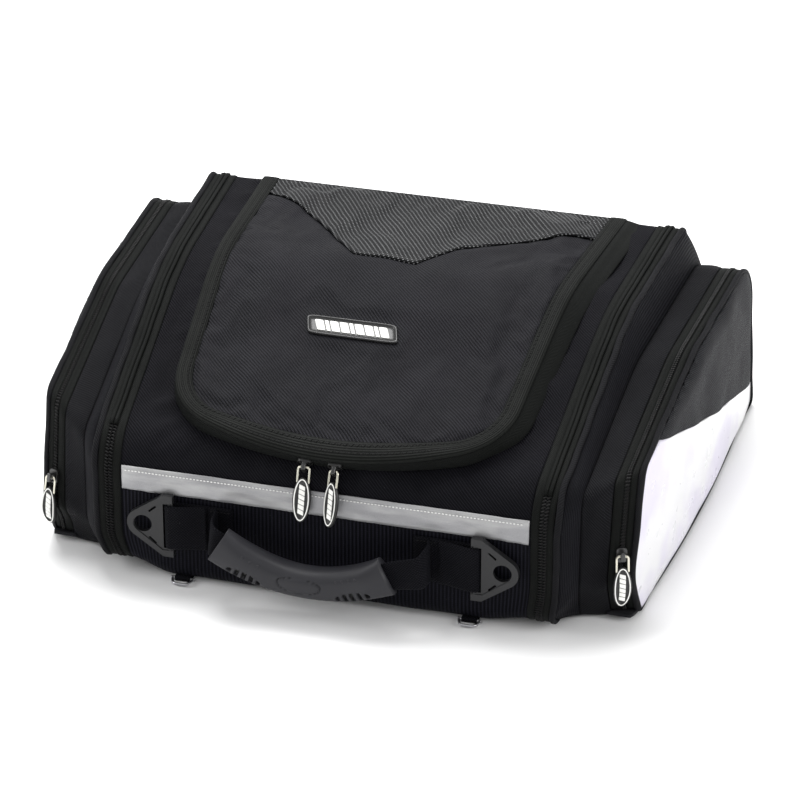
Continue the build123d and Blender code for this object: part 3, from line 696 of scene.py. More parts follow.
def make_main_shell():
    """The top and upper front: rings between the opening's edge and the shell's own border."""
    inner = opening_loop(OPENING_INSET, 130 * MM)
    count = len(LID_U)
    front_s, back_s = MAIN.s_of_z(STRIP_Z[0]), MAIN.s_of_y(REAR_SPLIT_Y - 0.2 * MM)
    outer = inner.copy()
    corner_s = LID_U[np.argmax(LID_U[:, 0] > -LID_CORNER_X * MM + 4 * MM), 1]
    for k, (x, s) in enumerate(LID_U):
        share = np.clip((corner_s - s) / (corner_s - LID_U[:, 1].min()), 0, 1)
        sign = 1 if x > 0 else -1
        if share <= 0:
            outer[k] = (sign * half_width(np.array(s)), s)
            continue
        turn = min(1.0, share * 1.9)
        drop = corner_s + (front_s - corner_s) * turn
        outer[k] = (x, front_s) if share > 0.52 else (sign * half_width(np.array(drop)), drop)
    low = np.where(outer[:count, 1] <= front_s + 0.1 * MM)[0]
    edge = half_width(np.array(front_s))
    outer[low, 0] = np.linspace(-edge, edge, len(low))
    left = np.arange(0, low[0] + 1)
    right = np.arange(low[-1], count)
    for rows, sign in ((left, -1), (right, 1)):
        ends, share = ((back_s, front_s), (0, 1)) if sign < 0 else ((front_s, back_s), (1, 0))
        steps, blend = np.linspace(*ends, len(rows)), np.linspace(*share, len(rows))
        target = np.where(blend < 1, outer[rows, 1], front_s)
        target = 0.5 * steps + 0.5 * target
        target[0 if sign < 0 else -1] = back_s
        outer[rows, 1] = target
        outer[rows, 0] = sign * half_width(target)
    rear = len(inner) - count
    width = half_width(np.array(back_s))
    outer[count:] = np.stack([np.linspace(width, -width, rear + 2)[1:-1], np.full(rear, back_s)], 1)
    rings = 26
    share = np.linspace(0, 1, rings)[:, None, None]
    flat = inner[None] * (1 - share) + outer[None] * share
    x, s = flat[..., 0], flat[..., 1]
    fade = np.sin(np.linspace(0, math.pi, rings))[:, None] ** 0.7
    fade = fade * smooth((s - MAIN.s_of_z(STRIP_Z[1])) / (16 * MM))
    lift = fade * (1.5 * ripple(x, s * 0.7, 11, 55 * MM) + 0.5) * MM
    run = np.arange(x.shape[1])[None] * 4 * MM
    pucker = np.exp(-((np.linspace(0, 1, rings)[:, None] - 0.45) / 0.22) ** 2)
    lift = lift + fade * pucker * 1.1 * MM * np.clip(ripple(run, x * 0, 12, 24 * MM), -0.4, 2)
    shell = lattice("main_shell", on_main(x, s, lift), wrap_v=True)
    recloth(shell, np.concatenate([flat, flat[:, :1]], 1))
    # the darker shell twill is painted shade from the overhanging lid
    dress(shell, SHADED_SHELL_TWILL, "bag_body", "twill", ["main_shell"], LINING)
    thicken(shell, 2.8 * MM, True)


def make_strip():
    """The reflective tape across the front, creased towards its ends, with its stitching."""
    s0, s1 = (MAIN.s_of_z(z) for z in STRIP_Z)
    rows, columns = 10, 150
    s = np.linspace(s0, s1, rows)[:, None] * np.ones((1, columns))
    x = np.linspace(-1, 1, columns)[None] * half_width(s, 1 * MM)
    crease = 0.35 * MM * ripple(x, s * 3, 21, 45 * MM)
    near_edge = np.abs(x) > half_width(s, 30 * MM)
    crease = crease + near_edge * 0.3 * MM * np.sin(x / (2.2 * MM)) * np.linspace(1, 0, rows)[:, None]
    strip = lattice("reflective_strip", on_main(x, s, 1.2 * MM + crease), cloth=np.stack([x, s], -1))
    thicken(dress(strip, REFLECTIVE, "bag_body", "reflective", ["reflective_strip"]), 0.9 * MM)
    seam = s1 - 3.4 * MM
    edge = float(half_width(np.array(seam), 3 * MM))
    place = lambda along, across, up: on_main(along - edge, seam + across, up + 1.75 * MM)
    row = stitch_row("strip_stitching", place, 2 * edge, 2.7 * MM, size=1.7 * MM, radius=0.42 * MM,
                     material=WHITE_THREAD)
    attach(row, "bag_body")


# --- Lid ------------------------------------------------------------------------------------------
def on_u(index_share, inset, lift):
    """A point beside the lid's U outline; index_share is the running length along it."""
    x, s, nx, ns = (np.interp(index_share, LID_LEN, a)
                    for a in (LID_U[:, 0], LID_U[:, 1], LID_IN[:, 0], LID_IN[:, 1]))
    lift = np.asarray(lift)
    return on_main(x + nx * inset, s + ns * inset, np.where(lift > 0, lift * lid_rise(s), lift))


def u_sweep(name, section, flare=None, **options):
    """Sweeps a closed section of (inset, lift) round the U. flare(run) pushes its foot outwards."""
    run = np.linspace(0, LID_LEN[-1], 260)
    inset, lift = section[:, 0] * MM, section[:, 1] * MM
    inset = np.broadcast_to(inset, (len(run), len(inset))).copy()
    if flare is not None:
        inset -= flare(run)[:, None] * np.clip(1 - lift / (12 * MM), 0, 1)[None]
    rings = on_u(run[:, None], inset, lift[None])
    along = np.broadcast_to(run[:, None], (len(run), len(lift) + 1))
    girth = run_length(np.vstack([section, section[:1]]) * MM)
    cloth = np.stack([np.broadcast_to(girth, along.shape), along], -1)
    return lattice(name, rings, wrap_v=True, cloth=cloth, caps=True, **options)


def side_flare(run):
    """How far the lid's side wall leans outwards at its foot: most on the right, least in front."""
    x = np.interp(run, LID_LEN, LID_U[:, 0])
    share = np.clip((np.abs(x) - 116 * MM) / (24 * MM), 0, 1)
    rear = 1 - lid_rise(np.interp(run, LID_LEN, LID_U[:, 1]))
    return smooth(share) * np.where(x > 0, 11 * MM + rear * 7 * MM, 2 * MM) + 1 * MM


def make_lid_edge():
    """The lid's side wall, its binding with two rows of stitches, and the coils of its zip."""
    gusset = np.array([(0.2, 12.6), (-0.9, 12.0), (-1.2, 9.0), (-1.3, 5.0), (-1.3, 1.6), (-0.8, 0.7),
                       (0.4, 0.7), (0.5, 5.0), (0.7, 9.0), (1.4, 11.6)])
    wall = u_sweep("lid_gusset", gusset, side_flare)
    dress(wall, TAPE, "lid", "zip_tape", ["lid_gusset"])
    tape = np.array([(-0.7, 14.1), (0.2, 15.0), (2.5, 15.6), (6.0, 15.7), (9.5, 15.4), (11.6, 14.7),
                     (12.3, 13.4), (11.0, 12.9), (6.0, 13.2), (1.5, 12.8), (-0.3, 12.0), (-1.1, 12.7)])
    binding = u_sweep("lid_binding", tape)
    dress(binding, BINDING, "lid", "binding", ["lid_binding"])
    for name, inset in (("outer", 4.2 * MM), ("inner", 9.0 * MM)):
        place = lambda along, across, up, inset=inset: on_u(
            along + 3 * MM, inset + across, BINDING_TOP + up)
        row = stitch_row(f"lid_binding_stitches_{name}", place, LID_LEN[-1] - 6 * MM, 2.3 * MM,
                         size=2.4 * MM, radius=0.3 * MM, lean=0.75)
        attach(row, "lid")
    zip_rows = [("lid_zip_coil_lid", "lid", 1.6, 2.2), ("lid_zip_coil_body", "bag_body", 4.2, 1.2)]
    for name, body, inset, lift in zip_rows:
        place = lambda s, up, across, inset=inset, lift=lift: on_u(
            s, inset * MM - side_flare(s) * 0.85 + across, lift * MM + up)
        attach(coil(name, place, LID_LEN[-1]), body)


def lid_grid(inset, rear_y, columns, rows):
    """A grid of (x, s) that fills the U, inset from its edge."""
    curve = LID_U + LID_IN * inset
    curve[:, 1] = np.minimum(curve[:, 1], MAIN.s_of_y(rear_y))
    nose = len(curve) // 2
    turn = np.linalg.norm(np.diff(LID_IN, axis=0), axis=1)
    sharp = np.where(turn > turn.max() * 0.6)[0]
    left_corner = int(sharp[sharp < nose].mean())
    right_corner = int(sharp[sharp > nose].mean()) + 1
    left = even(curve[:left_corner + 1], rows)[::-1]
    right = even(curve[right_corner:], rows)
    front = even(curve[left_corner:right_corner + 1], columns)
    back = np.stack([np.linspace(left[-1, 0], right[-1, 0], columns),
                     np.full(columns, left[-1, 1])], 1)
    return coons(front, back, left, right)


def carbon_front(x):
    """The y of the carbon panel's front edge at x: two concave sweeps to a blunt point."""
    left_x, left_y = [-160, -120, -88, -60, -34], [135, 101, 74, 38, 3]
    right_x, right_y = [16, 45, 76, 118, 160], [3, 40, 66, 90, 108]
    left = np.interp(x, np.array(left_x) * MM, np.array(left_y) * MM)
    right = np.interp(x, np.array(right_x) * MM, np.array(right_y) * MM)
    return np.where(x < left_x[-1] * MM, left, np.where(x > right_x[0] * MM, right, 3 * MM))


def relax(made, pins, pressure, shrink, cap, frames=14):
    """Cloth simulation: the free points of a pinned panel settle under a little air pressure."""
    before = np.zeros(len(made.data.vertices) * 3, np.float32)
    made.data.vertices.foreach_get("co", before)
    before = before.reshape(-1, 3)
    group = made.vertex_groups.new(name="pins")
    for weight in sorted(set(np.round(pins, 2))):
        members = np.where(np.round(pins, 2) == weight)[0]
        if weight > 0:
            group.add(members.tolist(), float(weight), "REPLACE")
    bpy.context.view_layer.objects.active = made
    cloth = made.modifiers.new("cloth", "CLOTH")
    cloth.settings.vertex_group_mass = "pins"
    cloth.settings.use_pressure = True
    cloth.settings.uniform_pressure_force = pressure
    cloth.settings.shrink_min = shrink
    cloth.settings.quality = 6
    cloth.settings.tension_stiffness = cloth.settings.compression_stiffness = 25
    cloth.settings.bending_stiffness = 1.5
    cloth.settings.effector_weights.gravity = 0
    cloth.collision_settings.use_self_collision = False
    scene = bpy.context.scene
    for number in range(1, frames + 1):
        scene.frame_set(number)
    evaluated = made.evaluated_get(bpy.context.evaluated_depsgraph_get())
    after = np.array([v.co for v in evaluated.data.vertices], float).reshape(-1, 3)
    made.modifiers.remove(cloth)
    scene.frame_set(1)
    move = after - before
    size = np.linalg.norm(move, axis=1)[:, None]
    move *= np.minimum(1, cap / np.maximum(size, 1e-9))
    made.data.vertices.foreach_set("co", (before + move).astype(np.float32).ravel())
    made.data.update()


def make_lid_panels():
    """The lid's outer fabric, crowned by its padding. Returns how high the badge's bed lies."""
    grid = lid_grid(BINDING_W - 1 * MM, LID_REAR_Y, 110, 120)
    x, s = grid[..., 0], grid[..., 1]
    rows, columns = x.shape
    across, down = (steps / 12 for steps in steps_in(rows, columns))
    edge = np.clip(np.minimum(across, down), 0, 1)
    crown = edge * (2 - edge)
    near_edge = np.exp(-np.minimum(across, down) * 12 / 9.0) * crown
    rise = lid_rise(s)
    lift = LID_HEIGHT * rise + crown * (1.2 + 1.3 * rise * ripple(x, s, 31, 75 * MM)) * MM
    lift = lift + near_edge * rise * 1.5 * MM * ripple(x, s, 32, 24 * MM)
    top = lattice("lid_top", on_main(x, s, lift), cloth=np.stack([x, s], -1))
    top.data.materials.append(TWILL)
    pins = np.where((across <= 0.01) | (down <= 0.01), 1.0, 0.0).ravel()
    relax(top, pins, 0.35, -0.012, 5 * MM)
    top.data.update()
    points = np.array([v.co for v in top.data.vertices], float).reshape(rows, columns, 3)
    bpy.data.objects.remove(top)
    normal = MAIN.normal(s)
    normal = np.stack([0 * s, normal[..., 0], normal[..., 1]], -1)
    height = ((points - on_main(x, s)) * normal).sum(-1)
    lowest = LID_HEIGHT * rise - 0.8 * MM
    points = points + np.maximum(lowest - height, 0)[..., None] * normal
    height = np.maximum(height, lowest)
    centre, badge_s = badge_place()
    near = smooth((52 * MM - np.abs(x - centre)) / (16 * MM))
    near = near * smooth((24 * MM - np.abs(s - badge_s)) / (12 * MM))
    level = float((height * near).sum() / near.sum())
    points = points + (near * (level - height))[..., None] * normal
    split_panels(points, np.stack([x, s], -1), points[..., 1] - carbon_front(x))
    return level


def badge_place():
    """The badge's middle as (x, s)."""
    low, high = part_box("lid_badge")
    run = np.linspace(MAIN.s_of_z(100 * MM), MAIN.s_of_y(0), 400)
    badge_y = (low.y + high.y) / 2
    return (low.x + high.x) / 2, float(np.interp(badge_y, MAIN.at(run, 14 * MM)[:, 0], run))


def split_panels(points, cloth, above):
    """Cuts the lid's top along the carbon panel's front edge into two panels."""
    rows, columns = above.shape
    for name, material, slot, in_front in (("lid_panel", TWILL, "twill", True),
                                           ("lid_carbon_panel", CARBON, "mesh_weave", False)):
        count = 90 if in_front else 60
        column_points, column_cloth = [], []
        for j in range(columns):
            line = np.arange(rows, dtype=float)
            cut = np.interp(0, above[:, j], line) if above[-1, j] > 0 else rows - 1.0
            cut = max(cut, 0.0)
            ends = (0, cut) if in_front else (cut, rows - 1)
            at = np.linspace(*ends, count)
            column_points.append(np.stack([np.interp(at, line, points[:, j, k]) for k in range(3)], 1))
            column_cloth.append(np.stack([np.interp(at, line, cloth[:, j, k]) for k in range(2)], 1))
        grid = np.array(column_points)
        weave = np.array(column_cloth)
        seam = np.zeros(count)
        if in_front:
            seam[-4:] = np.array([0.0, -0.25, -0.7, -1.3]) * MM
        else:
            seam[:6] = np.array([-0.7, 0.7, 1.0, 0.9, 0.2, 0.1]) * MM
        grid = grid + seam[None, :, None] * np.array([0, -0.3, 0.95])
        panel = lattice(name, grid, cloth=weave)
        dress(panel, material, "lid", slot, [name], LINING)
        thicken(panel, 1.6 * MM, True)


def make_lid_pad():
    """The foam pad in the lid, with its quilted lining facing down into the bag."""
    grid = lid_grid(3 * MM, LID_REAR_Y - 2 * MM, 60, 66)
    x, s = grid[..., 0], grid[..., 1]
    rows, columns = x.shape
    across, down = (steps / 5 for steps in steps_in(rows, columns))
    edge = np.clip(np.minimum(across, down), 0, 1)
    round_off = np.sqrt(np.clip(1 - (1 - edge) ** 2, 0, 1))
    quilt = np.abs(np.sin((x + s) * math.pi / (60 * MM)) * np.sin((x - s) * math.pi / (60 * MM))) ** 0.35
    rise = lid_rise(s)
    sunk = 2.0 * MM * (1 - rise)
    lower = on_main(x, s, rise * (8 * MM - round_off * (2.6 * MM + 1.6 * MM * quilt)) - sunk)
    upper = on_main(x, s, rise * (8 * MM + round_off * 2.2 * MM) - sunk)
    under = lattice("lid_pad", lower, cloth=np.stack([x, s], -1), inwards=True)
    over = lattice("lid_pad_top", upper, cloth=np.stack([x, s], -1))
    for part in (under, over):
        part.data.materials.append(LINING)
    bpy.ops.object.select_all(action="DESELECT")
    over.select_set(True)
    under.select_set(True)
    bpy.context.view_layer.objects.active = under
    bpy.ops.object.join()
    weld = under.modifiers.new("weld", "WELD")
    weld.merge_threshold = 0.05 * MM
    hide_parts("lid_foam")
    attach(under, "lid")


def plate(name, place, half_a, half_b, levels, material, slant):
    """A rounded plate in levels of (shrink, lift) in mm. place(a, b, lift) gives its points."""
    turn = np.linspace(0, 2 * math.pi, 48, endpoint=False)
    a, b = (np.sign(f) * np.abs(f) ** 0.22 for f in (np.cos(turn), np.sin(turn)))
    rings = []
    for shrink, lift in levels:
        across = b * max(half_b - shrink * MM, 0.1 * MM)
        rings.append(place(a * max(half_a - shrink * MM, 0.1 * MM) + slant * across, across, lift * MM))
    return dress(lattice(name, np.array(rings), wrap_v=True, caps=True), material)


def make_badge(level):
    """A rubber badge with a raised rim round a plain white bar, cut into slanted pieces."""
    x0, s0 = badge_place()
    place = lambda a, b, lift: on_main(x0 + a, s0 + b, level + lift)
    half_a, half_b = 35.5 * MM, 9.6 * MM
    slab = plate("lid_badge", place, half_a, half_b,
                 [(0.8, -0.9), (0, -0.3), (0, 1.5), (0.35, 2.0), (1.0, 2.1), (1.5, 1.9), (1.7, 1.2),
                  (5.0, 1.2), (9.5, 1.2)], RUBBER, slant=-0.3)
    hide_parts("lid_badge")
    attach(slab, "lid")
    widths = np.array([6.5, 3.0, 6.5, 6.5, 3.0, 6.5, 6.5, 3.0, 6.5]) * MM
    starts = np.cumsum(widths + 1.1 * MM) - widths - 1.1 * MM
    starts = starts - (starts[-1] + widths[-1]) / 2
    for k, (begin, width) in enumerate(zip(starts, widths)):
        spot = lambda a, b, lift, middle=begin + width / 2: place(a + middle, b, lift)
        bar = plate(f"lid_badge_bar_{k}", spot, width / 2, 5.2 * MM,
                    [(0, 1.0), (0, 1.6), (0.3, 1.8), (1.2, 1.8)], WHITE_INK, slant=-0.45)
        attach(bar, "lid")


def make_hinge():
    """The folded fabric seam along the lid's rear."""
    half = float(LID_U[-1, 0]) - 1 * MM
    rows = 26
    s = np.linspace(MAIN.s_of_y(130 * MM), MAIN.s_of_y(154 * MM), rows)[:, None] * np.ones((1, 60))
    x = np.linspace(-half, half, 60)[None] * np.ones((rows, 1))
    fall = np.linspace(1, 0, rows)[:, None]
    seam = lattice("lid_hinge_seam", on_main(x, s, (0.9 + 0.6 * fall) * MM), cloth=np.stack([x, s], -1))
    seam.data.materials.append(BINDING)
    thicken(seam, 0.9 * MM)
    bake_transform(seam)


def make_lower_zip():
    """The lid zip's tape on the body, round the opening, seen when the lid is up."""
    section = np.array([(13.6, 0.3), (20.5, 0.2), (20.6, -1.2), (13.6, -1.4)])
    tape = u_sweep("lid_zip_lower", section)
    dress(tape, TAPE, "bag_body", "zip_tape", ["lid_zip_lower"])


# --- Sides ----------------------------------------------------------------------------------------
def main_ring(section, side, spacing=5 * MM, wave=0.0, seed=0, s0=None, s1=None):
    """Rings of a section of (x, lift) in mm, swept round the main outline in the side frame."""
    closed = s0 is None
    if closed:
        s = np.linspace(0, MAIN.length, round(MAIN.length / spacing), endpoint=False)
    else:
        s = np.linspace(s0, s1, round((s1 - s0) / spacing))
    x, lift = section[:, 0] * MM, section[:, 1] * MM
    sway = wave * ripple(s, 0 * s, seed, 60 * MM)
    height = MAIN.at(s)[:, 1]
    sway = sway * np.clip(height / (20 * MM), 0, 1)
    yz = MAIN.at(s[:, None], lift[None] + 0.3 * np.abs(sway)[:, None])
    xs = np.broadcast_to(x[None], yz.shape[:2]) + sway[:, None]
    grid = np.stack([xs, yz[..., 0], np.maximum(yz[..., 1], 0.2 * MM)], -1)
    return on_side(grid, side), s


def round_section(x, lift, rx, ry, steps):
    """An oval section of (x, lift) in mm."""
    turn = np.linspace(0, 2 * math.pi, steps, endpoint=False)
    return np.stack([x + rx * np.cos(turn), lift + ry * np.sin(turn)], 1)


def side_strip(name, section, side, material, body, slot=None, replaces=(), s0=None, s1=None,
               **options):
    """A section swept round the side seam, or along it from s0 to s1."""
    rings, s = main_ring(section, side, s0=s0, s1=s1, **options)
    closed = s0 is None
    girth = run_length(np.vstack([section, section[:1]]) * MM)
    along = np.append(s, MAIN.length) if closed else s
    cloth = np.stack(np.broadcast_arrays(girth[None], along[:, None]), -1)
    made = lattice(name, rings, wrap_u=closed, wrap_v=True, cloth=cloth, caps=not closed)
    return dress(made, material, body, slot, replaces)


def make_expansion(name, side):
    """The zip round the side seam, and the folded gusset that it lets out."""
    inner = np.array([(0.1, 0.4), (1.2, 1.1), (4.5, 0.9), (6.6, 0.5), (7.4, -0.3), (7.2, -1.4),
                      (0.3, -1.6)])
    outer = np.array([(11.7, -0.3), (12.4, 0.6), (14.5, 1.0), (17.0, 1.1), (17.8, 0.2), (17.6, -1.6),
                      (11.9, -1.4)])
    side_strip(f"expansion_zip_inner_{name}", inner, side, TAPE, "bag_body", "zip_tape",
               [f"expansion_zip_inner_{name}"])
    side_strip(f"expansion_zip_outer_{name}", outer, side, TAPE, f"side_{name}", "zip_tape",
               [f"expansion_zip_outer_{name}"])
    for part, x, body in (("inner", 8.1, "bag_body"), ("outer", 11.0, f"side_{name}")):
        def place(s, up, across, x=x):
            yz = MAIN.at(s, 0.5 * MM + up)
            z = np.maximum(yz[..., 1], 0.1 * MM)
            return on_side(np.stack([x * MM + across, yz[..., 0], z], -1), side)
        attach(coil(f"expansion_coil_{part}_{name}", place, MAIN.length), body)
    lip_start = MAIN.s_of_z(118 * MM) if side < 0 else MAIN.s_of_z(112 * MM)
    lip_end = MAIN.s_of_y(150 * MM) + 0.1
    for part, x, body in (("inner", 7.9, "bag_body"), ("outer", 11.2, f"side_{name}")):
        lip = round_section(x, 1.7, 1.6, 0.9, 8)
        side_strip(f"expansion_zip_lip_{part}_{name}", lip, side, TAPE, body, s0=lip_start, s1=lip_end,
                   wave=0.25 * MM, seed=7)
    folds = 9
    x = np.linspace(0.6, 17.2, folds)
    lift = np.where(np.arange(folds) % 2, -5.2, -3.0)
    rings, s = main_ring(np.stack([x, lift], 1), side)
    gusset = lattice(f"expansion_gusset_{name}", rings, wrap_u=True)
    dress(gusset, LINING, None, "lining", [f"expansion_gusset_{name}"])
    thicken(gusset, 0.8 * MM)
    start = on_side(np.array([1.0 * MM, 0, 0.08]), side)
    end = on_side(np.array([17.0 * MM, 0, 0.08]), side)
    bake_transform(gusset)


def disc(name, ring_points):
    """A closed-outline panel as rings shrinking to its middle."""
    centre = ring_points.mean(0)
    share = np.linspace(0, 0.999, 9)[:, None, None]
    grid = ring_points[None] * (1 - share) + centre * share
    return lattice(name, grid, wrap_v=True)


def make_side_wall(name, side):
    """The piping, the flare from the side seam to the pocket, and the wall behind it."""
    body = f"side_{name}"
    piping = round_section(20.1, 0.3, 2.5, 2.1, 12)
    side_strip(f"side_piping_{name}", piping, side, PIPING, body, "binding", [f"side_piping_{name}"],
               wave=0.3 * MM, seed=13, spacing=4 * MM)
    start = rounded(FLARE_CORNERS, FLARE_RADII, POCKET_ARCS, POCKET_EDGES)
    grid = []
    for share in np.linspace(0, 1, 9):
        bulge = math.sin(share * math.pi) * 2.0 * MM
        ring = start * (1 - share) + pocket_outline(FLARE_END) * share
        ring = ring + Track(ring).n[:-1] * bulge * np.clip(ring[:, 1:] / (30 * MM), 0, 1)
        x = np.full(len(ring), (FLARE_START + (FLARE_END - FLARE_START) * share) * MM)
        grid.append(np.column_stack([x, ring[:, 0], np.maximum(ring[:, 1], 0.2 * MM)]))
    grid = on_side(np.array(grid), side)
    flare = lattice(f"side_wall_{name}", grid, wrap_v=True)
    swap_weave(flare)
    dress(flare, FLARE_RIBBED, body, "ribbed_fabric", [f"side_wall_{name}"], LINING)
    thicken(flare, 2.0 * MM, True)
    yz = MAIN.at(np.linspace(0, MAIN.length, 150, endpoint=False), -2.6 * MM)
    ring = on_side(np.column_stack([np.full(len(yz), 20.5 * MM), yz]), side)
    wall = disc(f"side_panel_{name}", ring)
    thicken(dress(wall, LINING, body), 3.5 * MM, offset=0)


def pocket_span():
    """Indices of the pocket outline from its front foot over the top to its rear foot."""
    return np.where(pocket_outline(60.0)[:, 1] > 6.5 * MM)[0]


SPAN = pocket_span()


def pocket_strip(name, section, side, material, body, slot=None, replaces=(), closed=False, foot=0.2 * MM,
                 wave=0.0, seed=0):
    """A section of (x, lift) in mm swept round the pocket's outline, which changes with x."""
    rings = []
    for x, lift in section:
        ring = pocket_outline(x, lift * MM)
        ring = ring if closed else ring[SPAN]
        run = run_length(ring)
        sway = wave * ripple(run, 0 * run, seed, 60 * MM) * np.clip(ring[:, 1] / (25 * MM), 0, 1)
        rings.append(np.column_stack([x * MM + sway, ring[:, 0], np.maximum(ring[:, 1], foot)]))
    grid = on_side(np.array(rings).transpose(1, 0, 2), side)
    made = lattice(name, grid, wrap_u=closed, wrap_v=True, caps=not closed)
    return dress(made, material, body, slot, replaces)


def bulge_x(y, inset):
    """How far out (metres) the pocket's slightly domed end lies at y, less an inset in mm."""
    return (BULGE_X - inset) * MM - (y - BULGE_Y * MM) ** 2 / (2 * BULGE_R * MM)


def make_pocket(name, side):
    """The pocket's tray with its floor, its zip and its piping."""
    body, cover = f"side_{name}", f"pocket_cover_{name}"
    grid = []
    for x in np.linspace(FLARE_END + 0.2, TRAY_END, 12):
        ring = pocket_outline(x)
        share = (x - FLARE_END) / (TRAY_END - FLARE_END)
        run = np.linspace(0, 1, len(ring)) * 1.1
        folds = ripple(run, 0 * run + share * 0.05, 41 + side, 0.12)
        puff = math.sin(share * math.pi) ** 0.7 * (1.2 + 0.7 * folds)
        off_ground = np.clip(ring[:, 1] / (20 * MM), 0, 1)
        ring = ring + Track(ring).n[:-1] * (puff * MM * off_ground)[:, None]
        across = np.full(len(ring), x * MM)
        grid.append(np.column_stack([across, ring[:, 0], np.maximum(ring[:, 1], 0.1 * MM)]))
    tray = lattice(f"pocket_tray_{name}", on_side(np.array(grid), side), wrap_v=True)
    dress(tray, TRAY_TWILL, body, "twill", [f"pocket_tray_{name}"], LINING)
    thicken(tray, 2.2 * MM, True)
    outline = pocket_outline(POCKET_EDGE, -1.5 * MM)
    y = np.linspace(outline[:, 0].min() + 4 * MM, outline[:, 0].max() - 3 * MM, 60)
    near, far, z = (TRAY_END - 2) * MM, bulge_x(y, 2.5), np.full(len(y), 2.4 * MM)
    floor = np.stack([np.stack([near + share * (far - near), y, z], 1)
                      for share in np.linspace(0, 1, 8)])
    made = lattice(f"pocket_floor_{name}", on_side(floor, side))
    thicken(dress(made, LINING, body), 2.2 * MM)

    tape_in = np.array([(52.8, -0.4), (53.6, 0.5), (57.0, 0.7), (59.2, 0.3), (59.6, -0.8),
                        (53.0, -1.6)])
    pocket_strip(f"pocket_zip_inner_{name}", tape_in, side, TAPE, body, "zip_tape",
                 [f"pocket_zip_inner_{name}"])
    tape_out = np.array([(62.4, -0.8), (62.9, 0.3), (65.0, 0.7), (67.4, 0.5), (67.9, -0.6),
                         (62.6, -1.6)])
    pocket_strip(f"pocket_zip_outer_{name}", tape_out, side, TAPE, cover, "zip_tape",
                 [f"pocket_zip_outer_{name}"])
    for part, x, rider in (("inner", 60.3, body), ("outer", 61.7, cover)):
        ring = pocket_outline(x)[SPAN]
        normals = Track(pocket_outline(x)).n[:-1][SPAN]
        run = run_length(ring)

        def place(s, up, across, x=x, ring=ring, normals=normals, run=run):
            p = np.stack([np.interp(s, run, ring[:, k]) for k in (0, 1)], -1)
            n = np.stack([np.interp(s, run, normals[:, k]) for k in (0, 1)], -1)
            p = p + n * (0.3 * MM + up)[..., None]
            return on_side(np.stack([x * MM + across, p[..., 0], p[..., 1]], -1), side)
        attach(coil(f"pocket_coil_{part}_{name}", place, run[-1], radius=(0.7 * MM, 0.85 * MM)), rider)
    piping = round_section(70.0, 0.1, 2.3, 1.9, 12)
    pocket_strip(f"pocket_piping_{name}", piping, side, PIPING, cover, "binding", [f"pocket_piping_{name}"],
                 closed=True, foot=2.9 * MM, wave=0.25 * MM, seed=17)


def end_panel_edges():
    """The end panel's outline split where the white panel's top edge meets it."""
    ring = pocket_outline(POCKET_EDGE, -1.0 * MM)
    edge = np.array(WHITE_EDGE, float) * MM
    line = np.interp(ring[:, 0], edge[:, 0], edge[:, 1])
    above = ring[:, 1] > line
    first = int(np.argmax(above & (ring[:, 1] > 60 * MM)))
    last = len(ring) - 1 - int(np.argmax(above[::-1]))
    return ring, first, last, edge


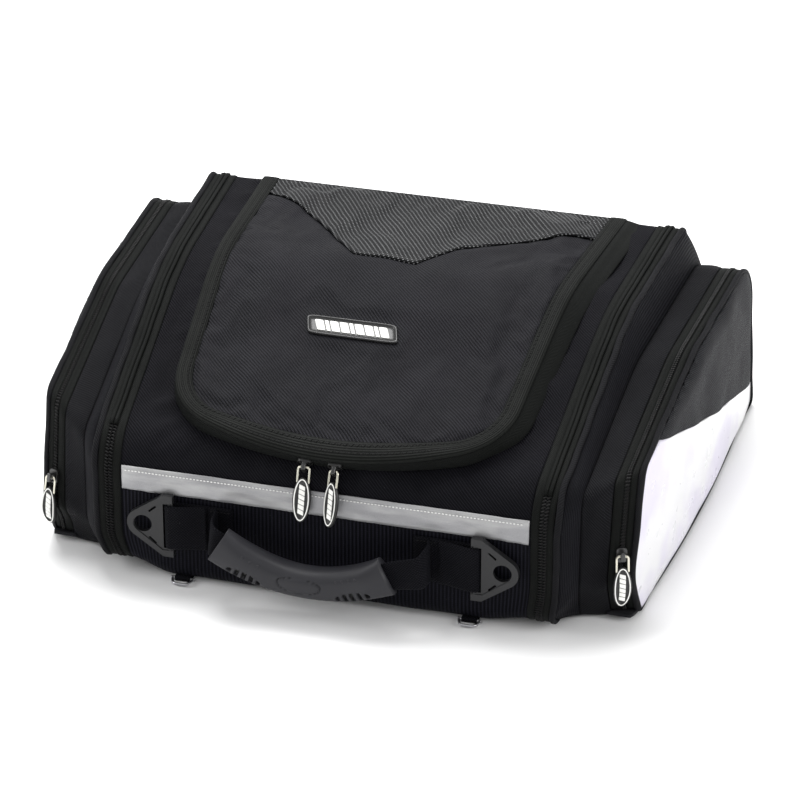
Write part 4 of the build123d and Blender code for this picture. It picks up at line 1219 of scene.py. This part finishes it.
def make_end_panels(name, side):
    """The pocket's end: twill above, white vinyl below, and a lining behind both."""
    cover = f"pocket_cover_{name}"
    ring, first, last, edge = end_panel_edges()
    share = np.linspace(0, 0.999, 12)[:, None, None]
    yz = (ring[None] * (1 - share) + ring.mean(0) * share) * [1, 0.97] + [0, 3 * MM]
    x = np.full((*yz.shape[:2], 1), END_LINING_X * MM)
    behind = on_side(np.concatenate([x, yz], -1), side)
    lining = lattice(f"pocket_lining_{name}", behind, wrap_v=True)
    dress(lining, LINING, cover)
    between = [corner for corner in edge if ring[first][0] < corner[0] < ring[last][0]]
    seam = even(np.array([ring[first], *between, ring[last]]), 200)
    kernel = np.ones(31) / 31
    padded = np.concatenate([2 * seam[0] - seam[15:0:-1], seam, 2 * seam[-1] - seam[-2:-17:-1]])
    seam = np.stack([np.convolve(padded[:, k], kernel, "valid") for k in (0, 1)], 1)
    columns = 80
    seam = even(seam, columns)
    top_part = ring[first:last + 1]
    bottom_part = np.concatenate([ring[last:], ring[:first + 1]])[::-1]
    # The upper patch comes to a point in front and turns at the rear top; the lower one turns at
    # its two feet.
    rear_top = int(np.argmax(top_part[:, 0] > 150 * MM))
    front_foot = int(np.argmin(np.hypot(bottom_part[:, 0] + 143 * MM, bottom_part[:, 1])))
    rear_foot = int(np.argmin(np.hypot(bottom_part[:, 0] - 200 * MM, bottom_part[:, 1] - 2 * MM)))
    rows = 44
    point = np.tile(top_part[0], (rows, 1))
    upper = coons(seam, even(top_part[:rear_top + 1], columns), point,
                  even(top_part[rear_top:][::-1], rows))
    lower = coons(even(bottom_part[front_foot:rear_foot + 1], columns), seam,
                  even(bottom_part[:front_foot + 1][::-1], rows), even(bottom_part[rear_foot:], rows))
    for part, grid, material, slot, node, seed in (
            ("cover", upper, POCKET_TWILL, "twill", f"pocket_cover_{name}", 51),
            ("white_panel", lower, WHITE_VINYL, "white_vinyl", f"pocket_white_panel_{name}", 52)):
        y, z = grid[..., 0], grid[..., 1]
        inside = np.hypot(y[..., None] - ring[:, 0], z[..., None] - ring[:, 1]).min(-1)
        rim = np.sqrt(1 - (1 - np.clip(inside / (13 * MM), 0, 1)) ** 2)
        wave = 0.8 if part == "cover" else 0.45
        folds = wave * MM * ripple(y, z, seed + side, 110 * MM)
        x = PANEL_RIM_X * MM + rim * (bulge_x(y, 0.6) - PANEL_RIM_X * MM + folds)
        outside = on_side(np.stack([x, y, np.maximum(z, 3.2 * MM)], -1), side)
        panel = lattice(f"pocket_{part}_{name}", outside, cloth=np.stack([y, z], -1))
        if part == "cover":
            across, down = steps_in(*y.shape)
            pins = np.broadcast_to((across == 0) | (down == 0), y.shape).astype(float).ravel()
            relax(panel, pins, 0.25, -0.006, 2.5 * MM)
        dress(panel, material, cover, slot, [node], LINING)
        thicken(panel, 2.0 * MM, True)


# --- Handle, rings, webbing -----------------------------------------------------------------------
def grip_line(t):
    """The grip's centre line, t from -1 to 1: a sagging arc in front of the bag."""
    z = GRIP_LOW + GRIP_SAG * t ** 2 - GRIP_LEAN * t
    return np.stack([GRIP_X + GRIP_HALF * t, np.full_like(t, GRIP_Y), z * MM], -1)


def make_grip():
    """A moulded grip: wide flared ends, finger slots low near each end, an oval pad in front."""
    count, steps = 280, 80
    t = np.linspace(-1, 1, count)
    centre = grip_line(t)
    out = np.tile([0.0, -1.0, 0.0], (count, 1))
    up = unit(np.cross(out, tangents(centre)))
    up *= np.sign(up[:, 2:3])
    turn = np.linspace(0, 2 * math.pi, steps, endpoint=False)
    ends = np.clip((np.abs(t) - 0.72) / 0.28, 0, 1) ** 1.6
    half_up = (12.8 - 2.2 * np.cos(t * math.pi) * 0.5 + 1.6 * ends) * MM
    half_out = (10.5 + 1.0 * (1 - t ** 2) - 3.0 * ends) * MM
    shape = lambda a, p: np.sign(a) * np.abs(a) ** p
    c, s = shape(np.cos(turn), 0.75)[None], shape(np.sin(turn), 0.8)[None]
    a = half_out[:, None] * c
    b = half_up[:, None] * s
    slots = np.zeros((count, steps))
    angle = (turn + math.pi) % (2 * math.pi) - math.pi
    for where in (-0.62, 0.60):
        lens = np.sqrt(np.clip(1 - ((t - where) / 0.2) ** 2, 0, 1))[:, None]
        cut = smooth(0.5 + 1.2 * np.cos((t - where)[:, None] * 2 * math.pi / 0.082))
        slots += cut * smooth((0.44 * lens - np.abs(angle[None] + 0.6)) / 0.12) * (lens > 0)
    a -= slots * 4.2 * MM
    pad = np.clip(1 - (t[:, None] / 0.27) ** 2 - ((np.sin(turn)[None] - 0.1) / 0.42) ** 2, 0, None)
    front = np.cos(turn)[None] > 0.2
    groove = np.exp(-((pad - 0.10) / 0.07) ** 2) * (pad > 0)
    a += front * (np.clip(pad * 6, 0, 1) * 0.7 * MM - groove * 1.9 * MM)
    grid = centre[:, None] + a[..., None] * out[:, None] + b[..., None] * up[:, None]
    grip = lattice("handle_grip", grid, wrap_v=True, caps=True)
    dress(grip, GRIP, "handle", "grip_rubber", ["handle_grip"], RUBBER)
    # Painted shade: the faces deep in the finger slots take the darker tag rubber instead of the grip's own
    slot_shade = np.zeros((count - 1, steps), np.int32)
    slot_shade[slots[:-1] + slots[1:] > 1.0] = 1
    grip.data.polygons.foreach_set("material_index", np.append(slot_shade.ravel(), [0, 0]).astype(np.int32))
    make_grip_dots(grid[:, int(np.argmin(np.abs(turn - math.asin(0.42))))], t, up, out)


def make_grip_dots(line, t, up, out):
    """Small raised dots along a line on the grip's front, above each row of slots."""
    vertices, faces = [], []
    right = np.array([1, 0, 0])
    ring = np.linspace(0, 2 * math.pi, 10, endpoint=False)
    for where in (-0.72, -0.62, -0.52, 0.46, 0.54, 0.62, 0.70):
        k = int(np.argmin(np.abs(t - where)))
        base = len(vertices)
        for radius, lift in ((1.3, -0.3), (1.1, 0.25), (0.5, 0.5)):
            for angle in ring:
                spoke = math.cos(angle) * right + math.sin(angle) * up[k]
                vertices.append(list(line[k] + radius * MM * spoke + lift * MM * out[k]))
        for level in range(2):
            for i in range(10):
                q, r = base + level * 10 + i, base + level * 10 + (i + 1) % 10
                faces.append((q, r, r + 10, q + 10))
        faces.append(tuple(base + 20 + i for i in range(10)))
    dress(add_mesh("grip_dots", vertices, faces), GRIP, "handle")


def ribbon(name, centres, normals, widths, half_t, material):
    """A flat strip along centres: widths are half widths as vectors across it."""
    section = np.array([(1, 0.5), (0.9, 1), (-0.9, 1), (-1, 0.5), (-1, -0.5), (-0.9, -1), (0.9, -1),
                        (1, -0.5)])
    rings = (centres[:, None] + section[None, :, 0:1] * widths[:, None]
             + section[None, :, 1:2] * half_t * normals[:, None])
    run = run_length(centres)
    width = np.linalg.norm(widths, axis=1).mean()
    across = np.append(section[:, 0], section[0, 0]) * width
    cloth = np.stack(np.broadcast_arrays(across[None], run[:, None]), -1)
    return dress(lattice(name, rings, wrap_v=True, cloth=cloth, caps=True), material)


def rounded_path(points, count):
    """The path along control points with its corners averaged away."""
    points = np.array(points, float)
    t = np.linspace(0, len(points) - 1, count)
    base = np.stack([np.interp(t, np.arange(len(points)), points[:, k]) for k in range(3)], 1)
    kernel = np.hanning(2 * (count // (2 * len(points))) + 3)
    kernel /= kernel.sum()
    half = len(kernel) // 2
    padded = np.concatenate([2 * base[0] - base[half:0:-1], base, 2 * base[-1] - base[-2:-half - 2:-1]])
    return np.stack([np.convolve(padded[:, k], kernel, "valid") for k in range(3)], 1)


def make_handle_straps():
    """Webbing from the front out to each end of the grip."""
    for name, sign in SIDES:
        grip_x = GRIP_X + sign * GRIP_HALF
        low = (GRIP_LEAN + sign * GRIP_LEAN) * MM
        points = [(sign * 82 * MM, -200.4 * MM, 53 * MM), (sign * 83.5 * MM, -206 * MM, 53 * MM),
                  (sign * 83 * MM, -214 * MM, 53.5 * MM),
                  (sign * 80 * MM, -220 * MM, 54.5 * MM - 0.5 * low),
                  (grip_x + sign * 4 * MM, GRIP_Y, 55 * MM - low),
                  (grip_x - sign * 10 * MM, GRIP_Y, 48 * MM - 0.85 * low)]
        line = rounded_path(points, 36)
        share = np.linspace(0, 1, len(line))[:, None]
        upright, inwards = np.array([[0, 0, 1.0]]), np.array([[-sign * 1.0, 0, 0]])
        across = unit(upright * (1 - share * 0.1) + share * 0.25 * inwards)
        normal = unit(np.cross(tangents(line), across))
        width = (17.5 - 7.0 * share ** 0.8) * MM
        strap = ribbon(f"handle_strap_{name}", line, normal, across * width, 1.1 * MM, WEBBING)
        if sign < 0:
            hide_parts("handle_webbing")
        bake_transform(strap)


def make_front_webbing():
    """Webbing sewn to the front, from each handle anchor out to the ring and back on itself."""
    z, y0 = WEBBING_Z, WEBBING_Y
    bar_x, bar_y, bar_r = 117.8 * MM, -202.8 * MM, 3.3 * MM
    for name, sign in SIDES:
        turn = np.linspace(-math.pi / 2, math.pi / 2 + 0.2, 12)
        loop = [(bar_x + bar_r * math.cos(a), bar_y - bar_r * math.sin(a)) for a in turn]
        plan = [(70 * MM, y0 - 1.2 * MM), (78 * MM, y0 - 1.4 * MM), (92 * MM, y0 - 1.4 * MM),
                (106 * MM, y0 - 1.6 * MM), (112 * MM, y0 - 1.9 * MM)]
        plan += loop
        plan += [(111 * MM, bar_y - 2.6 * MM), (104 * MM, bar_y - 0.5 * MM), (96 * MM, y0 - 4.0 * MM),
                 (90 * MM, y0 - 3.6 * MM)]
        plan = resample(np.array(plan), 1.6 * MM)
        centres = np.column_stack([sign * plan[:, 0], plan[:, 1], np.full(len(plan), z)])
        across = np.tile([0, 0, 1.0], (len(centres), 1))
        normal = np.cross(tangents(centres), across)
        strip = ribbon(f"front_webbing_{name}", centres, normal, across * WEBBING_HALF, 0.95 * MM,
                       WEBBING)
        if sign < 0:
            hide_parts("front_webbing")
        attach(strip, "bag_body")
        for row, dz in enumerate((-15.5, 15.5)):
            place = lambda s, a, up, dz=dz: np.stack(
                [sign * (72 * MM + s), y0 - 2.5 * MM - up, z + dz * MM + a], -1)
            stitches = stitch_row(f"webbing_stitch_{name}_0_{row}", place, 16 * MM, 2.6 * MM)
            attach(stitches, "bag_body")


def make_anchor_tabs():
    """A folded tab of webbing round each anchor ring's bar, out of the base seam."""
    made = None
    for name in ("front_left", "front_right", "rear_left", "rear_right"):
        low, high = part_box(f"anchor_ring_{name}")
        outward = -1 if "front" in name else 1
        x = (low.x + high.x) / 2
        y = (high.y if outward < 0 else low.y) + outward * 1.2 * MM
        z = 2.3 * MM
        turn = np.linspace(-math.pi / 2, math.pi / 2, 9)
        r = 1.9 * MM
        loop = [(y + outward * r * math.cos(a), z + r * math.sin(a)) for a in turn]
        plan = [(y - outward * 8 * MM, z - r)] + loop + [(y - outward * 8 * MM, z + r)]
        plan = resample(np.array(plan), 1 * MM)
        centres = np.column_stack([np.full(len(plan), x), plan])
        across = np.tile([1.0, 0, 0], (len(centres), 1))
        normal = np.cross(tangents(centres), across)
        tab = ribbon(f"anchor_tab_{name}", centres, normal, across * 6 * MM, 0.4 * MM, WEBBING)
        if made is None:
            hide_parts("anchor_tabs")
        made = tab
        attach(tab, "bag_body")


def make_tags():
    """Oval rubber pulls with a thin white rim line and a plain slanted white bar in stripes."""
    joints = {j["name"]: j for j in frame["joints"]}
    for kind in ("lid_pull", "pocket_pull"):
        for name, _ in SIDES:
            node = f"{kind}_tag_{name}"
            source = frame["nodes"][node]
            co = np.array([v.co for v in source.data.vertices], float)
            pivot = np.array(joints[f"{kind}_{name}_swing"]["pos_m"])
            axis = unit(np.array(joints[f"{kind}_{name}_swing"]["axis"]))
            middle = (co.max(0) + co.min(0)) / 2
            down = middle - pivot
            down = unit(down - axis * (down @ axis))
            face = np.cross(axis, down)
            if face[1] > 0:
                face = -face
            right = np.cross(face, down)
            run = (co - pivot) @ down
            centre = pivot + down * (run.max() - 17 * MM)

            def spread(a, b, lift):
                """Points at a across, b down and lift (mm) off the tag's middle."""
                return centre + a[:, None] * right + b[:, None] * down + lift * MM * face

            def slab(label, rings, material):
                made = lattice(label, np.array(rings), wrap_v=True, caps=True)
                return dress(made, material, f"{kind}_{name}")

            turn = np.linspace(0, 2 * math.pi, 40, endpoint=False)
            levels = [(1.2, -1.45), (0.3, -1.3), (0, -0.6), (0, 0.6), (0.3, 1.3), (0.9, 1.5),
                      (1.9, 1.45), (2.1, 0.9), (6.0, 0.9)]
            body = slab(f"{kind}_tag_shape_{name}", [
                spread((7 - shrink) * MM * np.cos(turn), (17 - shrink) * MM * np.sin(turn), lift)
                for shrink, lift in levels], RUBBER)
            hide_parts(node)
            turn = np.linspace(0, 2 * math.pi, 64, endpoint=False)
            line = [spread((5.55 + da) * MM * np.cos(turn), (15.5 + da) * MM * np.sin(turn), lift)
                    for da, lift in ((-0.45, 1.42), (-0.45, 1.78), (0.45, 1.78), (0.45, 1.42))]
            rim = lattice(f"{kind}_tag_line_{name}", np.array(line).transpose(1, 0, 2), wrap_u=True,
                          wrap_v=True)
            dress(rim, WHITE_INK, f"{kind}_{name}")
            for k in range(6):
                rings = []
                for shrink, lift in ((0, 0.7), (0, 1.35), (0.3, 1.5)):
                    a = (2.3 - shrink) * MM * np.array([1, -1, -1, 1])
                    b = (1.6 - shrink) * MM * np.array([1, 1, -1, -1]) + 0.35 * a
                    rings.append(spread(a, b + (k - 2.5) * 3.75 * MM, lift))
                slab(f"{kind}_tag_stripe_{name}_{k}", rings, WHITE_INK)


def dress_cad():
    """Materials and softened edges for the CAD parts whose shape is right."""
    plans = {"strap_ring": PLASTIC, "lid_slider": BLACK_METAL, "pocket_slider": BLACK_METAL,
             "expansion_slider": BLACK_METAL, "lid_pull_wire": WIRE, "pocket_pull_wire": WIRE,
             "anchor_ring": STEEL, "base_board": BOARD, "rear_board": BOARD}
    for name, node in frame["nodes"].items():
        if node.hide_render:
            continue
        material = next((m for key, m in plans.items() if name.startswith(key)), None)
        if material is None:
            continue
        node.data.materials.clear()
        node.data.materials.append(material)
        if name.startswith(("strap_ring", "base_board", "rear_board")):
            edge = node.modifiers.new("edges", "BEVEL")
            edge.width = 0.5 * MM
            edge.segments = 2
            edge.limit_method = "ANGLE"
            edge.angle_limit = math.radians(35)


# --- Stage ----------------------------------------------------------------------------------------
def make_stage():
    """White paper floor, an even white surround and four soft lamps."""
    reach = 14.0
    corners = [(-reach, -reach, 0), (reach, -reach, 0), (reach, reach, 0), (-reach, reach, 0)]
    floor = add_mesh("floor", corners, [(0, 1, 2, 3)])
    paper = Recipe("paper", (0.86, 0.86, 0.86), 0.7)
    tone = paper.mix(paper.noise(6), (0.85, 0.85, 0.855), (0.87, 0.87, 0.87))
    floor.data.materials.append(paper.finish(tone))
    world = bpy.data.worlds.new("studio")
    world.use_nodes = True
    world.node_tree.nodes["Background"].inputs[0].default_value = (1.0, 1.0, 1.0, 1)
    world.node_tree.nodes["Background"].inputs[1].default_value = 0.6
    bpy.context.scene.world = world
    aim = Vector((0, 0, 0.08))
    lamps = (("top", (-0.5, 0.9, 2.3), 1.8, 92), ("left", (-2.4, -0.9, 1.5), 1.4, 30),
             ("right", (2.6, -0.3, 1.2), 1.2, 34), ("front", (0.3, -2.6, 2.2), 1.6, 10))
    for name, place, size, energy in lamps:
        light = bpy.data.lights.new(name, "AREA")
        light.size = size
        light.energy = energy
        lamp = bpy.data.objects.new(name, light)
        lamp.location = place
        lamp.rotation_euler = (aim - Vector(place)).to_track_quat("-Z", "Y").to_euler()
        bpy.context.scene.collection.objects.link(lamp)


def make_camera():
    """The photo's view, fitted to the bag's edges in the photo."""
    data = bpy.data.cameras.new("camera")
    data.lens = 179.64
    data.sensor_width = 36.0
    camera = bpy.data.objects.new("camera", data)
    camera.location = (0.7397, -2.6515, 1.5547)
    aim = Vector((0.0281, -0.0854, 0.1191))
    camera.rotation_euler = (aim - camera.location).to_track_quat("-Z", "Y").to_euler()
    bpy.context.scene.collection.objects.link(camera)
    bpy.context.scene.camera = camera
    bpy.context.scene.view_settings.view_transform = "Standard"


make_camera()
make_stage()
make_base_and_front()
make_main_shell()
make_strip()
make_lid_edge()
lid_level = make_lid_panels()
make_lid_pad()
make_badge(lid_level)
make_lower_zip()
make_hinge()
for side_name, side_sign in SIDES:
    make_expansion(side_name, side_sign)
    make_side_wall(side_name, side_sign)
    make_pocket(side_name, side_sign)
    make_end_panels(side_name, side_sign)
make_grip()
make_handle_straps()
make_front_webbing()
make_anchor_tabs()
make_tags()
dress_cad()
